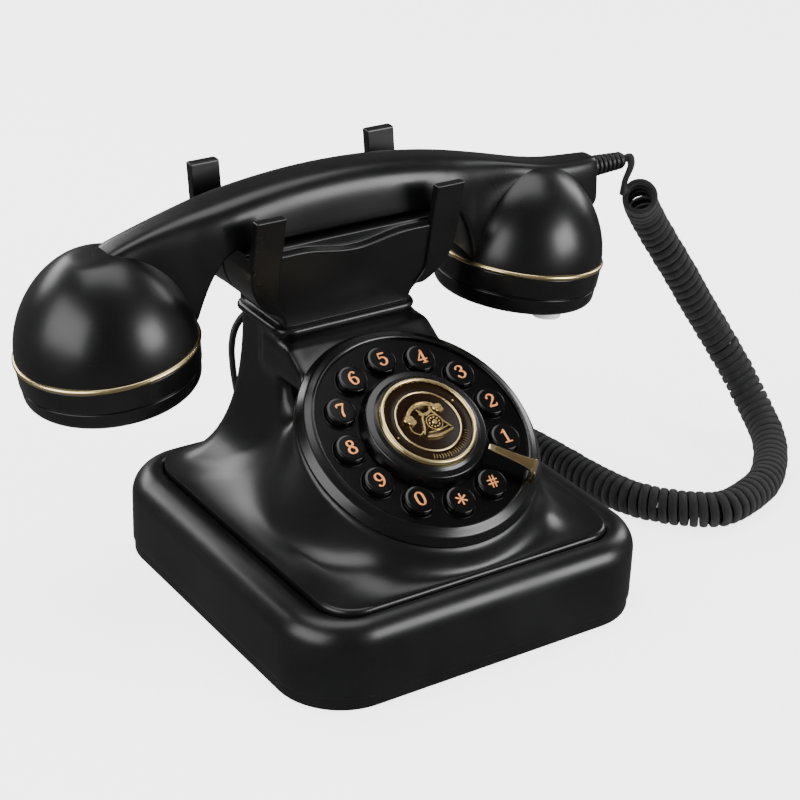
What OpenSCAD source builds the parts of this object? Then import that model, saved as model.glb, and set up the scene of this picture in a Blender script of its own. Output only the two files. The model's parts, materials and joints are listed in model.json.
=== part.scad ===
// Desk telephone in the shape of an old dial telephone: a square base, a flared housing with a
// sloping ring of twelve push buttons, a forked cradle, and a handset on a curly cord.
// Millimetres. +Z is up, +X is the cord side, and the dial faces -Y. The origin is on the
// resting surface, under the middle of the base.

/* [Base] */
// Width of the base
base_w = 150; // [148:1:154]
// Depth of the base
base_d = 154; // [152:1:158]
// Height of the base's crown
base_h = 33.5; // [33:0.5:34]
// Radius of the base's corners in plan
base_corner = 25.5; // [23:0.5:28]
// Height of the line between the bottom plate and the base shell
seam_z = 4.9; // [4.5:0.1:5.2]
// How far the rubber feet stand below the bottom plate
foot_drop = 0.8; // [0.6:0.1:1]

/* [Housing] */
// Width of the housing's lip on the base
plinth_w = 122; // [120:1:124]
// Height of the housing's lip above the resting surface
plinth_z = 35.4; // [35.2:0.1:35.8]
// Width of the neck
neck_w = 57; // [56:0.5:58]
// Depth of the neck
neck_d = 33; // [32:0.5:34]
// Middle of the neck, the cradle and the handset, behind the origin
neck_y = 42; // [41.5:0.1:42.5]
// Height where the neck meets its bead
neck_z = 93.5; // [93:0.1:94]
// Thickness of the moulded walls
wall = 2.5; // [2.2:0.1:2.8]

/* [Dial] */
// Slope of the dial above the horizontal, in degrees
dial_slope = 31.4; // [31:0.1:32]
// Radius of the black dial ring
dial_r = 46.5; // [46:0.1:46.8]
// Radius of the circle that the buttons stand on
button_ring = 31.3; // [31:0.1:31.6]
// Radius of a button's face
button_r = 5.6; // [5.4:0.1:5.7]
// Angle between neighbouring buttons
button_pitch = 29; // [28.5:0.1:29.3]
// How far a button goes down
button_travel = 1.5; // [1:0.1:1.5]

/* [Cradle] */
// Distance between the outer sides of the prongs
prong_span = 88.8; // [88:0.1:89.4]
// Width of one prong
prong_w = 12; // [11:0.5:13]
// Height of the front prongs' tips
front_prong_z = 146; // [144:0.5:147]
// Height of the rear prongs' tips
rear_prong_z = 152.4; // [150:0.5:153]
// How far the hook plunger rises when the handset is lifted
hook_travel = 4; // [3:0.5:4]

/* [Handset] */
// Distance between the middles of the two gold rings
ring_span = 182.6; // [181:0.2:184]
// Height of the gold rings' middles
ring_z = 99.8; // [99.5:0.1:100.2]
// Tilt of each ear and mouth piece, in degrees
piece_tilt = 7.9; // [7.5:0.1:8.3]
// Radius of the domes
dome_r = 33.2; // [33:0.1:33.5]
// Height of the domes above their rings
dome_h = 38; // [37.5:0.1:38.5]
// Width of the handle, front to back
handle_w = 26.4; // [25:0.2:27]

/* [Cord] */
// Outer radius of the cord's coil
coil_r = 7.2; // [6.8:0.1:7.4]
// Radius of the cord where it isn't coiled
cord_r = 1.9; // [1.6:0.1:2]

/* [Hidden] */
$fn = 64;
e = 0.01;

base_hw = base_w / 2;
base_hd = base_d / 2;
plinth_hw = plinth_w / 2;
plinth_y0 = -68.3;
plinth_y1 = 66.7;
neck_hw = neck_w / 2;
neck_y0 = neck_y - neck_d / 2;
neck_y1 = neck_y + neck_d / 2;
dial_y = -27.6;
dial_z = 74.7;
rim_r = dial_r + 1;
rim_drop = 6;
plate_drop = 2.6;
crown_r = 9.5;
crown_front = 8;
deck_z = 130.2;
cradle_z = neck_z + 5;
lean = 0.17;
prong_t = 3.2;
handle_floor = 131.4;
black = [0.05, 0.05, 0.055];
gloss = [0.03, 0.03, 0.03];
gold = [0.85, 0.68, 0.32];
brown = [0.22, 0.13, 0.05];
steel = [0.6, 0.6, 0.62];

// ---- shared shapes ----

// A closed surface through rings of equally many points, with flat ends
module loft(rings) {
    n = len(rings[0]);
    m = len(rings);
    sides = [for (i = [0 : m - 2], j = [0 : n - 1]) each
        let (a = i * n + j, b = i * n + (j + 1) % n)
        [[a, b + n, b], [a, a + n, b + n]]];
    polyhedron(
        points = [for (r = rings) each r],
        faces = concat(
            [[for (j = [0 : n - 1]) j]],
            sides,
            [[for (j = [n - 1 : -1 : 0]) (m - 1) * n + j]]),
        convexity = 6);
}

// A rounded rectangle at height z, as points; every corner has arc_n + 1 of them
arc_n = 6;
function round_rect(hw, y0, y1, r, z) = [
    for (k = [0 : 3], j = [0 : arc_n])
    let (
        a = 90 * k + 90 * j / arc_n,
        cx = (k == 0 || k == 3 ? 1 : -1) * (hw - r),
        cy = k < 2 ? y1 - r : y0 + r)
    [cx + r * cos(a), cy + r * sin(a), z]];

module slab(hw, y0, y1, r, z0, z1) {
    translate([0, (y0 + y1) / 2, z0])
        linear_extrude(z1 - z0)
            rounded(2 * hw, y1 - y0, r);
}

// A flat rounded rectangle made of exact pieces
module rounded(w, d, r) {
    square([w - 2 * r, d], center = true);
    square([w, d - 2 * r], center = true);
    for (x = [-1, 1], y = [-1, 1])
        translate([x * (w / 2 - r), y * (d / 2 - r)]) circle(r);
}

// The dial's own frame: z along its normal from the button tops, y up the slope
module on_dial() {
    translate([0, dial_y, dial_z]) rotate([dial_slope, 0, 0]) children();
}

// The frame of an ear or mouth piece: side is -1 for the ear, 1 for the mouth
module on_piece(side) {
    translate([side * ring_span / 2, neck_y, ring_z])
        rotate([0, side * piece_tilt, 0]) children();
}

module ring_shape(r_in, r_out, z0, z1) {
    rotate_extrude() polygon([[r_in, z0], [r_out, z0], [r_out, z1], [r_in, z1]]);
}

module box(x0, x1, y0, y1, z0, z1) {
    translate([x0, y0, z0]) cube([x1 - x0, y1 - y0, z1 - z0]);
}

// ---- base ----

// Rings of the base shell's outside, from the seam over the crown to the housing's lip
function base_rings(inset) = concat(
    [round_rect(base_hw - inset, -base_hd + inset, base_hd - inset, base_corner - inset, seam_z)],
    [for (a = [0 : 15 : 90])
        let (
            i = inset + (crown_r - inset) * (1 - cos(a)),
            k = inset + (crown_front - inset) * (1 - cos(a)))
        round_rect(base_hw - i, -base_hd + k, base_hd - k, base_corner - k,
            base_h - crown_r + (crown_r - inset) * sin(a))],
    inset > 0 ? [] :
        [round_rect(plinth_hw + 0.4, plinth_y0 - 0.3, plinth_y1 + 0.5, 13, plinth_z - 3.6)]);

screw_places = [[-50, -51], [50, -51], [-50, 51], [50, 51]];
socket_x = [-8, 16];
socket_z = 16;

module bottom_plate() {
    color(black) difference() {
        slab(base_hw - 0.6, -base_hd + 0.6, base_hd - 0.6, base_corner - 0.6, foot_drop, seam_z);
        for (p = screw_places) translate([p[0], p[1], 0]) {
            translate([0, 0, -e]) cylinder(r = 1.7, h = 10);
            translate([0, 0, -e]) cylinder(r = 3.6, h = 3);
        }
        for (x = [-1, 1], y = [-1, 1])
            translate([x * 58, y * 58, -e]) cylinder(r = 6.7, h = 2.4 + e);
        for (i = [-3 : 3])
            translate([i * 5, -30, 0]) cube([2, 36 - 4 * abs(i), 20], center = true);
    }
}

module rubber_feet() {
    color([0.12, 0.12, 0.12])
        for (x = [-1, 1], y = [-1, 1])
            translate([x * 58, y * 58, 0]) rotate_extrude()
                polygon([[0, 0], [6, 0], [6.6, 0.6], [6.6, 2.4], [0, 2.4]]);
}

module base_screws() {
    color(steel) for (p = screw_places) translate([p[0], p[1], 0]) difference() {
        rotate_extrude() polygon([[0, 1.4], [3.3, 1.4], [3.3, 2.99], [1.5, 2.99], [1.5, 16], [0, 16]]);
        translate([0, 0, 1.4]) cube([4.4, 0.8, 1.2], center = true);
        translate([0, 0, 1.4]) cube([0.8, 4.4, 1.2], center = true);
    }
}

module base_shell() {
    color(black) difference() {
        union() {
            difference() {
                loft(base_rings(0));
                translate([0, 0, -e]) loft(base_rings(wall));
            }
            for (p = screw_places) translate([p[0], p[1], seam_z]) cylinder(r = 4, h = 27.5);
        }
        slab(plinth_hw - 4, plinth_y0 + 4, plinth_y1 - 4, 9, base_h - 6, base_h + 6);
        for (p = screw_places) translate([p[0], p[1], 0]) cylinder(r = 1.5, h = 17);
        for (x = socket_x) box(x - 5.2, x + 5.2, 60, base_hd + 1, socket_z - 4.7, socket_z + 4.7);
        box(30, 46, 60, base_hd + 1, 13.5, 18.5);
    }
}

// ---- housing ----

// Horizontal and vertical shares of the flare: a parabola that leaves the lip level and
// reaches the neck upright
function flare(u) = (1 - sqrt(u)) * (1 - sqrt(u));

// The slope just under the dial ring, where the housing's front is at height z
function slope_y(z) = dial_y + (rim_drop + 2.2) * sin(dial_slope)
    + (z - dial_z + (rim_drop + 2.2) * cos(dial_slope)) / tan(dial_slope);

function skirt_ring(u, inset) =
    let (
        s = flare(u),
        z = plinth_z + (neck_z - plinth_z) * u)
    round_rect(
        neck_hw + (plinth_hw - neck_hw) * s - inset,
        max(plinth_y0, min(neck_y0, slope_y(z))) + inset,
        neck_y1 + (plinth_y1 - neck_y1) * s - inset,
        5 + 8 * s - inset / 2, z);

// Angle round the dial that belongs to point j of corner k of a rounded rectangle
function dial_angle(k, j) = 90 * k + 8 + 74 * j / arc_n;

function on_dial_point(r, a, z) = [
    r * cos(a),
    dial_y + r * sin(a) * cos(dial_slope) - z * sin(dial_slope),
    dial_z + r * sin(a) * sin(dial_slope) + z * cos(dial_slope)];

function drum_ring(u, inset) =
    let (foot = round_rect(plinth_hw - inset, plinth_y0 + inset, plinth_y1 - inset, 13 - inset, plinth_z))
    [for (k = [0 : 3], j = [0 : arc_n])
        let (
            top = on_dial_point(rim_r - inset, dial_angle(k, j), -rim_drop - inset),
            low = foot[k * (arc_n + 1) + j],
            s = flare(u))
        [top[0] + (low[0] - top[0]) * s, top[1] + (low[1] - top[1]) * s,
            plinth_z + (top[2] - plinth_z) * u]];

steps = [0, 0.004, 0.02, 0.06, 0.13, 0.24, 0.4, 0.6, 0.8, 1];

module housing_solid(inset) {
    loft([for (u = steps) skirt_ring(u, inset)]);
    loft([for (u = steps) drum_ring(u, inset)]);
}

module neck_bead() {
    bead = [[0, -e], [0.9, 0.6], [1.5, 1.4], [1.5, 2.6], [0.9, 3.6], [0, 4.4], [-0.6, 5]];
    loft([for (b = bead)
        round_rect(neck_hw + b[0], neck_y0 - b[0], neck_y1 + b[0], 5 + b[0], neck_z + b[1])]);
}

module upper_housing() {
    color(black) difference() {
        union() {
            housing_solid(0);
            neck_bead();
            loft([
                round_rect(plinth_hw, plinth_y0, plinth_y1, 13, plinth_z - 3.3),
                round_rect(plinth_hw, plinth_y0, plinth_y1, 13, plinth_z + e)]);
        }
        translate([0, 0, -2]) housing_solid(wall);
        slab(plinth_hw - wall, plinth_y0 + wall, plinth_y1 - wall, 10, plinth_z - 10, plinth_z - 1.9);
        slab(neck_hw - wall, neck_y0 + wall, neck_y1 - wall, 3, neck_z - 12, neck_z + 10);
        on_dial() translate([0, 0, -20]) cylinder(r = 43, h = 30);
    }
    color(black) for (p = screw_places) translate([p[0], p[1], plinth_z - 3.3]) difference() {
        translate([0, 0, -1]) cylinder(r = 4, h = 5.4);
        translate([0, 0, -2]) cylinder(r = 1.4, h = 5);
    }
}

// ---- inside the base ----

module ballast_bars() {
    color(steel) for (x = [-1, 1])
        translate([x * 62, 0, seam_z]) difference() {
            translate([-6, -40, 0]) cube([12, 80, 9]);
            for (y = [-30, 30]) translate([0, y, -1]) cylinder(r = 2, h = 12);
        }
}

module circuit_board() {
    color([0.1, 0.35, 0.2]) {
        box(-44, 44, 2, 60, 9, 10.6);
        for (x = [-38, 38], y = [8, 54]) translate([x, y, seam_z]) cylinder(r = 2.6, h = 4.2);
        box(-30, -12, 14, 26, 10.5, 14);
        box(-4, 6, 18, 28, 10.5, 13);
    }
    color([0.15, 0.15, 0.2]) translate([26, 30, 10.5]) cylinder(r = 5, h = 12);
}

module ringer_speaker() {
    color([0.2, 0.2, 0.2]) translate([0, -30, seam_z]) rotate_extrude()
        polygon([[0, 1], [22, 1], [22, 0], [25, 0], [25, 3], [16, 8], [16, 13], [0, 13]]);
}

// A modular socket: a box with its mouth in the base's rear wall
module socket(x, w) {
    difference() {
        box(x - 5, x + 5, 62, base_hd - 0.4, socket_z - 4.5, socket_z + 4.5);
        box(x - w / 2, x + w / 2, 65, base_hd + 1, socket_z - 3.3, socket_z + 3.3);
    }
}

module line_socket() {
    color([0.1, 0.1, 0.1]) socket(socket_x[1], 8);
}

module handset_socket() {
    color([0.1, 0.1, 0.1]) socket(socket_x[0], 8);
}

module switch_body() {
    color([0.2, 0.2, 0.22]) difference() {
        box(29, 47, 68, base_hd - wall - 0.1, 12, 20);
        box(30, 46, 70, base_hd, 14, 18);
    }
}

// The volume switch's slider; it runs along X in its slot
module ringer_switch() {
    color(gloss) {
        box(34.5, 41.5, 71.3, 76.8, 14.3, 17.7);
        box(36.5, 39.5, 70.4, 71.4, 14.6, 17.4);
    }
}

// ---- dial ----

module dial_ring() {
    color(gloss) on_dial() rotate_extrude() polygon(concat(
        [[40.7, -8.5], [42.8, -8.5], [42.8, -rim_drop], [dial_r, -rim_drop]],
        [for (a = [10 : 16 : 90]) [dial_r - 3.4 + 3.4 * cos(a), -5.6 + 3.4 * sin(a)]],
        [[41.6, -1.75], [40.7, -1.75]]));
}

button_names = ["1", "2", "3", "4", "5", "6", "7", "8", "9", "0", "star", "hash"];
function button_angle(i) = -23 + button_pitch * i;

module dial_plate() {
    color(black) on_dial() difference() {
        translate([0, 0, -plate_drop - 2]) cylinder(r = 40.6, h = 2);
        for (i = [0 : 11]) rotate(button_angle(i)) translate([button_ring, 0, -10])
            cylinder(r = button_r + 0.3, h = 10);
        translate([0, 0, -10]) cylinder(r = 12, h = 10);
    }
}

module dial_hub() {
    color(gloss) on_dial() rotate_extrude() polygon([
        [0, -plate_drop - 2.5], [11.9, -plate_drop - 2.5], [11.9, -plate_drop], [24.5, -plate_drop],
        [24.5, -1.6], [23.9, -0.6], [21.4, 2.6], [20.6, 3.2], [18.6, 3.4], [18.6, 2], [0, 2]]);
}

module badge_ring() {
    color(gold) on_dial() {
        ring_shape(16.9, 18.5, 2, 4.6);
        ring_shape(12.1, 12.9, 3.6, 4.4);
    }
}

module badge_disc() {
    color(brown) on_dial() translate([0, 0, 2]) cylinder(r = 16.85, h = 1.6);
}

// A small desk telephone in relief
module badge_emblem() {
    color(gold) on_dial() translate([0, 0, 3.6]) {
        linear_extrude(0.6) {
            difference() {
                translate([0, -1]) circle(8.2);
                translate([0, -4]) circle(8.4);
                translate([-10, -12]) square([20, 12]);
            }
            polygon([[-2.6, 0.4], [2.6, 0.4], [5.6, -6], [-5.6, -6]]);
            translate([-6.8, -7.4]) square([13.6, 1.2]);
        }
        translate([0, -2.8, 0]) cylinder(r = 2, h = 1);
        for (x = [-1, 1]) translate([x * 6.6, 1.6, 0]) cylinder(r = 1.8, h = 0.9);
    }
}

module finger_stop() {
    color(gold) on_dial() rotate(-43) {
        translate([0, 0, 2.8]) linear_extrude(1.2) {
            polygon([[25, -1.6], [25, 1.6], [33, 1.9], [38, 2.6], [42.2, 3.9], [42.6, -3.4], [38, -2.6], [33, -2]]);
            translate([25, 0]) circle(1.6);
        }
        box(41.3, 42.5, -3.2, 3.6, -1.74, 3.4);
    }
}

module button(i) {
    color(gloss) on_dial() rotate(button_angle(i)) translate([button_ring, 0, 0]) rotate_extrude()
        polygon([[0, -7.2], [3, -7.2], [3, -6.2], [6.6, -6.2], [6.6, -4.9], [button_r, -4.9],
            [button_r, -1.1], [button_r - 0.3, -0.5], [button_r - 0.9, -0.1], [3, 0.1], [0, 0.2]]);
}

module keypad_mat() {
    color([0.3, 0.3, 0.32]) on_dial() {
        ring_shape(13, 39, -10.4, -9.8);
        for (i = [0 : 11]) rotate(button_angle(i)) translate([button_ring, 0, -9.9]) cylinder(r = 4, h = 0.9);
    }
}

module keypad_board() {
    color([0.1, 0.35, 0.2]) on_dial() {
        ring_shape(8, 40.2, -12, -10.4);
        for (a = [10 : 90 : 280]) rotate(a) translate([22, 0, -12.8]) cylinder(r = 1.8, h = 0.9);
    }
}

// ---- cradle ----

// Outline of the cradle seen from the front, half of it: neck, hollow fillet, round belly
function cradle_half(inset) = concat(
    [[neck_hw - 1 - inset, cradle_z - (inset > 0 ? 1 : 0)]],
    [for (a = [180 : -18 : 90])
        [neck_hw + 4 + inset * cos(a) - inset * 0.3 + 5 * cos(a) - inset * 0.7 - inset * cos(a),
            cradle_z + 2.5 + inset + 5 * sin(a)]],
    [for (a = [0 : 10 : 90])
        let (rx = prong_span / 2 - inset - 35, rz = 14)
        [35 + rx * sin(a), cradle_z + 7.8 + inset + rz * (1 - cos(a))]]);

module cradle_belly(inset, top) {
    half = cradle_half(inset);
    n = len(half);
    outline = concat(half, [[prong_span / 2 - inset, top], [-prong_span / 2 + inset, top]],
        [for (i = [n - 1 : -1 : 0]) [-half[i][0], half[i][1]]]);
    intersection() {
        translate([0, neck_y + 40, 0]) rotate([90, 0, 0]) linear_extrude(80) polygon(outline);
        leaning(inset, 200);
    }
}

// The space between the cradle's front and rear faces, which lean outwards
module leaning(inset, top) {
    d0 = neck_d / 2 - inset;
    d1 = d0 + lean * (top - cradle_z);
    translate([-60, neck_y, 0]) rotate([90, 0, 90]) linear_extrude(120)
        polygon([[-d0, cradle_z - 2], [d0, cradle_z - 2], [d0, cradle_z], [d1, top], [-d1, top], [-d0, cradle_z]]);
}

module prongs(side, top) {
    intersection() {
        for (x = [-1, 1])
            translate([x * (prong_span - prong_w) / 2, neck_y + side * 20, 0])
                linear_extrude(top) square([prong_w, 40], center = true);
        difference() {
            leaning(0, 200);
            leaning(prong_t, 200);
        }
        translate([-60, -20, deck_z - 8]) cube([120, 120, 60]);
    }
}

// The lip between two prongs, which sags in the middle
module lip(side) {
    intersection() {
        translate([0, neck_y + 40, 0]) rotate([90, 0, 0]) linear_extrude(80) polygon(concat(
            [[-36, deck_z - 4], [36, deck_z - 4]],
            [for (x = [36 : -4 : -36])
                [x, 133.2 - 2.2 * (abs(x) > 22 ? 0 : 0.5 + 0.5 * cos(x * 180 / 22))]]));
        difference() {
            leaning(-0.6, 200);
            leaning(2.4, 200);
        }
        translate([-60, side < 0 ? -40 : neck_y, 100]) cube([120, 40 + (side < 0 ? neck_y : 40), 60]);
    }
}

module cradle_solid() {
    difference() {
        union() {
            cradle_belly(0, deck_z);
            prongs(-1, front_prong_z);
            prongs(1, rear_prong_z);
            lip(-1);
            lip(1);
        }
        cradle_belly(wall, deck_z - 2.2);
        box(-neck_hw + wall + 1, neck_hw - wall - 1, neck_y0 + wall, neck_y1 - wall, cradle_z - 3, cradle_z + 8);
        box(-9.3, 9.3, neck_y - 4.8, neck_y + 4.8, deck_z - 6, deck_z + 6);
        for (x = [-1, 1]) translate([x * 34, neck_y - 10, 118]) rotate([-90, 0, 0]) cylinder(r = 1.3, h = 20);
    }
    for (x = [-1, 1]) difference() {
        translate([x * 34, neck_y - 18.5, 118]) rotate([-90, 0, 0]) cylinder(r = 3, h = 37);
        translate([x * 34, neck_y - 12.5, 118]) rotate([-90, 0, 0]) cylinder(r = 1.3, h = 20);
    }
}

module cradle_front() {
    color(black) intersection() {
        cradle_solid();
        box(-60, 60, -10, neck_y, 90, 170);
    }
}

module cradle_rear() {
    color(black) intersection() {
        cradle_solid();
        box(-60, 60, neck_y, 100, 90, 170);
    }
}

module cradle_screws() {
    color(steel) for (x = [-1, 1]) translate([x * 34, neck_y - 6, 118])
        rotate([-90, 0, 0]) cylinder(r = 1.25, h = 13);
}

module hook_plunger() {
    color(gloss) {
        box(-9, 9, neck_y - 4.5, neck_y + 4.5, deck_z - 5, deck_z + 0.6);
        box(-3, 3, neck_y - 3, neck_y + 3, 108, deck_z - 4.9);
        box(-6, 6, neck_y - 3, neck_y + 3, 112, 115);
    }
}

module hook_switch() {
    color([0.15, 0.15, 0.18]) difference() {
        box(-10, 10, neck_y - 6, neck_y + 6, 94, 107.6);
        for (x = [-7, 7]) translate([x, neck_y - 10, 98]) rotate([-90, 0, 0]) cylinder(r = 1.5, h = 20);
    }
    color([0.15, 0.15, 0.18]) box(-neck_hw + wall, neck_hw - wall, neck_y - 5, neck_y + 5, 91, 94.1);
}

// ---- handset ----

function handle_top(x) = x < 95 ? 152.6 - 0.0019 * x * x : 135.45 - 0.03 * (x - 95);
function handle_low(x) =
    abs(x) < 44 ? handle_floor :
    abs(x) < 60 ? handle_floor - 26 * pow((abs(x) - 44) / 16, 3) :
    x > 112 ? 110 + (x - 112) * 0.4 : 105;

// One cross-section of the handle: a rounded box between its lower and upper edges
function handle_ring(x, inset, shrink) =
    let (
        low = handle_low(x) + inset,
        top = handle_top(x) - inset,
        hy = (handle_w / 2 - inset) * shrink,
        hz = (top - low) / 2)
    [for (a = [7.5 : 15 : 352.5])
        [x,
            neck_y + hy * sign(cos(a)) * pow(abs(cos(a)), 0.45),
            (top + low) / 2 + hz * sign(sin(a)) * pow(abs(sin(a)), 0.45)]];

function end_shrink(x) =
    let (d = max(0, -88 - x, x - 112) / 13)
    sqrt(max(0.04, 1 - d * d));

handle_x = [-100.6, -99, -96, -92, -88, -80, -70, -62, -60, -58, -55, -52, -48, -44,
    -32, -16, 0, 16, 32, 44, 48, 52, 55, 58, 60, 62, 70, 80, 92, 104, 112, 116, 120, 123, 124.4];

module piece_envelope(side, grow) {
    on_piece(side) {
        rotate_extrude() polygon(concat(
            [[0, 0]], [for (a = [0 : 5 : 90])
                [(dome_r + grow) * cos(a), 0.8 + (dome_h - 0.8 + grow) * sin(a)]]));
        translate([0, 0, -18]) cylinder(r = dome_r + grow, h = 18 + e);
    }
}

module handset_handle() {
    color(black) difference() {
        loft([for (x = handle_x) handle_ring(x, 0, end_shrink(x))]);
        piece_envelope(-1, 0.05);
        piece_envelope(1, 0.05);
        handle_cavity();
        translate([122, neck_y, 128.8]) rotate([0, 90, 0]) cylinder(r = 2.4, h = 10);
    }
}

module handle_cavity() {
    box(-40, 40, neck_y - 9, neck_y + 9, handle_floor - 3, 146);
    box(-43, 43, neck_y - 10.5, neck_y + 10.5, handle_floor - 3, handle_floor + 2.2);
}

module handle_cover() {
    color(black) difference() {
        box(-42.9, 42.9, neck_y - 10.4, neck_y + 10.4, handle_floor + 0.2, handle_floor + 2.1);
        for (x = [-36, 36]) translate([x, neck_y, 100]) {
            cylinder(r = 1.5, h = 60);
            cylinder(r = 3, h = handle_floor + 1.2 - 100);
        }
    }
}

module handle_screws() {
    color(steel) for (x = [-36, 36]) translate([x, neck_y, handle_floor]) rotate_extrude()
        polygon([[0, 0.4], [2.7, 0.4], [2.7, 1.15], [1.4, 1.15], [1.4, 8], [0, 8]]);
}

module handset_weight() {
    color(steel) difference() {
        box(-39.5, 39.5, neck_y - 8.5, neck_y + 8.5, handle_floor + 2.3, 145.5);
        for (x = [-36, 36]) translate([x, neck_y, 100]) cylinder(r = 1.6, h = 60);
    }
}

module dome(side) {
    color(black) on_piece(side) rotate_extrude() polygon(concat(
        [for (a = [0 : 5 : 90]) [dome_r * cos(a), 0.8 + (dome_h - 0.8) * sin(a)]],
        [for (a = [90 : -10 : 0]) [(dome_r - wall) * cos(a), 0.8 + (dome_h - 3.3) * sin(a)]]));
}

module gold_ring(side) {
    color(gold) on_piece(side) rotate_extrude() polygon([
        [30.8, -0.8], [33.4, -0.8], [33.9, -0.4], [34, 0], [33.9, 0.4], [33.4, 0.8], [30.8, 0.8]]);
}

// The cap below the gold ring, with a dished and pierced face
module piece_cap(side) {
    color(gloss) on_piece(side) difference() {
        rotate_extrude() polygon(concat(
            [[30.5, -0.8], [33.3, -0.8], [33, -8.4], [32.5, -8.9], [32.6, -9.4], [32.4, -12]],
            [for (a = [0 : 15 : 90]) [27.6 + 4.8 * cos(a), -12 - 4.7 * sin(a)]],
            [[25, -16.7], [22, -15.4], [0, -14.8], [0, -12], [29, -12]]));
        for (k = [0 : 2], i = [0 : 5 + 6 * k])
            rotate(i * 60 / (k + 1)) translate([5 + 6 * k, 0, -20]) cylinder(r = 1.1, h = 10);
        if (side > 0) translate([2, -20.5, -16.6]) rotate([-8, 0, 0])
            translate([0, 0, -3]) cylinder(r = 7.1, h = 3.95);
    }
}

module receiver_capsule() {
    color(steel) on_piece(-1) rotate_extrude()
        polygon([[0, -11.9], [27, -11.9], [27, -6], [18, -2], [18, 4], [0, 4]]);
}

module microphone_capsule() {
    color(steel) on_piece(1) rotate_extrude()
        polygon([[0, -11.9], [20, -11.9], [20, -7], [12, -4], [0, -4]]);
}

// A short bright nozzle on the mouth cap's face
module mouthpiece_horn() {
    color([0.85, 0.85, 0.88]) on_piece(1) translate([2, -20.5, -16.6]) rotate([-8, 0, 0])
        rotate_extrude() polygon(concat(
            [[0, 0.9], [7, 0.9], [6.6, -0.6]],
            [for (a = [20 : 14 : 90]) [6.2 * cos(a), -5.6 * sin(a)]]));
}

// ---- cord ----

relief_x = 124.4;
cord_y = neck_y;
cord_z = 128.8;

module strain_relief() {
    ribs = 7;
    color(gloss) translate([relief_x, cord_y, cord_z]) rotate([0, 90, 0]) rotate_extrude()
        polygon(concat(
            [[0, -2.4], [2.3, -2.4], [2.3, 0]],
            [for (i = [0 : ribs - 1]) let (r = 4.6 - 0.14 * i, x = i * 2.3) each
                [[r - 0.9, x], [r, x + 0.4], [r, x + 1.4], [r - 0.9, x + 1.8]]],
            [[2.9, 16.4], [0, 16.4]]));
}

// Middle line of the short lead between the strain relief and the coil
lead_route = [[141.9, 42, 128.8], [142.9, 41.8, 129.2], [143.8, 40.6, 129.6],
    [142.7, 38.3, 127], [139.2, 37.1, 121.6], [138.2, 36.8, 116.6], [140.2, 37.3, 112.6]];

// Middle line of the curly cord: it hangs from the handset, lands on the table in front of
// the base's corner, and runs back along the base and behind it
coil_route = [[145.6, 34.4, 114.9], [149.4, 38.4, 110.6], [154.2, 41.4, 104.8], [160, 41.4, 96], [166, 39, 86], [174, 36, 73],
    [180, 33, 62], [186, 29, 51], [190, 24, 42], [194, 18, 32], [196, 11, 23], [196, 3, 16],
    [193, -7, 11], [185, -18, 8], [170, -31, 7.4], [153, -38, 7.4], [139, -40, 7.4],
    [128, -34, 7.4], [119, -25, 7.4], [112, -13, 7.4], [108, 6, 7.4], [106, 26, 7.4],
    [103, 46, 7.4], [96, 66, 7.4], [83, 84, 7.4], [65, 95, 7.4], [46, 99, 7.4]];

// Middle line of the plain tail: it loops up against the back of the neck and comes down over
// the base to its plug
tail_route = [[45.8, 99, 7.4], [38, 100, 9], [28, 98, 17], [20, 92, 31], [12, 82, 49],
    [4, 71, 67], [-4, 63.6, 82], [-13, 61.8, 90], [-22, 61.6, 89.6], [-27.2, 61.8, 84.5],
    [-28.9, 62, 77], [-28, 63, 68], [-25, 66, 57], [-20, 72, 46], [-15, 80, 36],
    [-11, 86, 27], [-8.6, 88, 20], [-8, 86, 16.4], [-8, 82.2, 16]];

function unit(v) = v / norm(v);

// A smooth curve through the route's points: steps points on each stretch
function smooth(route, n) = [
    for (i = [0 : len(route) - 2], k = [0 : n - 1])
        let (
            p0 = route[max(0, i - 1)], p1 = route[i], p2 = route[i + 1],
            p3 = route[min(len(route) - 1, i + 2)], t = k / n)
        0.5 * (2 * p1 + (p2 - p0) * t + (2 * p0 - 5 * p1 + 4 * p2 - p3) * t * t
            + (3 * p1 - p0 - 3 * p2 + p3) * t * t * t),
    route[len(route) - 1]];

// Side vectors of a tube, each carried on from the one before it so that it doesn't twist
function carry(dirs, i, side) = i == len(dirs) ? [] :
    let (s = unit(side - (side * dirs[i]) * dirs[i])) concat([s], carry(dirs, i + 1, s));

module tube(route, n, r, sides) {
    line = smooth(route, n);
    m = len(line);
    dirs = [for (i = [0 : m - 1]) unit(line[min(i + 1, m - 1)] - line[max(i - 1, 0)])];
    across = carry(dirs, 0, [0.1, 1, 0.2]);
    loft([for (i = [0 : m - 1])
        let (u = across[i], v = cross(dirs[i], u))
        [for (a = [0 : 360 / sides : 359]) line[i] + r * (cos(a) * u + sin(a) * v)]]);
}

module cord_lead() {
    color(gloss) tube(lead_route, 2, cord_r, 8);
}

module curly_cord() {
    color(gloss) tube(coil_route, 2, coil_r, 12);
}

module cord_tail() {
    color(gloss) tube(tail_route, 3, cord_r, 8);
}

module cord_plug() {
    color([0.2, 0.2, 0.2]) {
        box(-8 - 3.8, -8 + 3.8, 66, 79, socket_z - 3.1, socket_z + 3.1);
        box(-8 - 2.6, -8 + 2.6, 78.9, 82.2, socket_z - 2.4, socket_z + 2.4);
    }
}

// ---- the nodes ----

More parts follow.
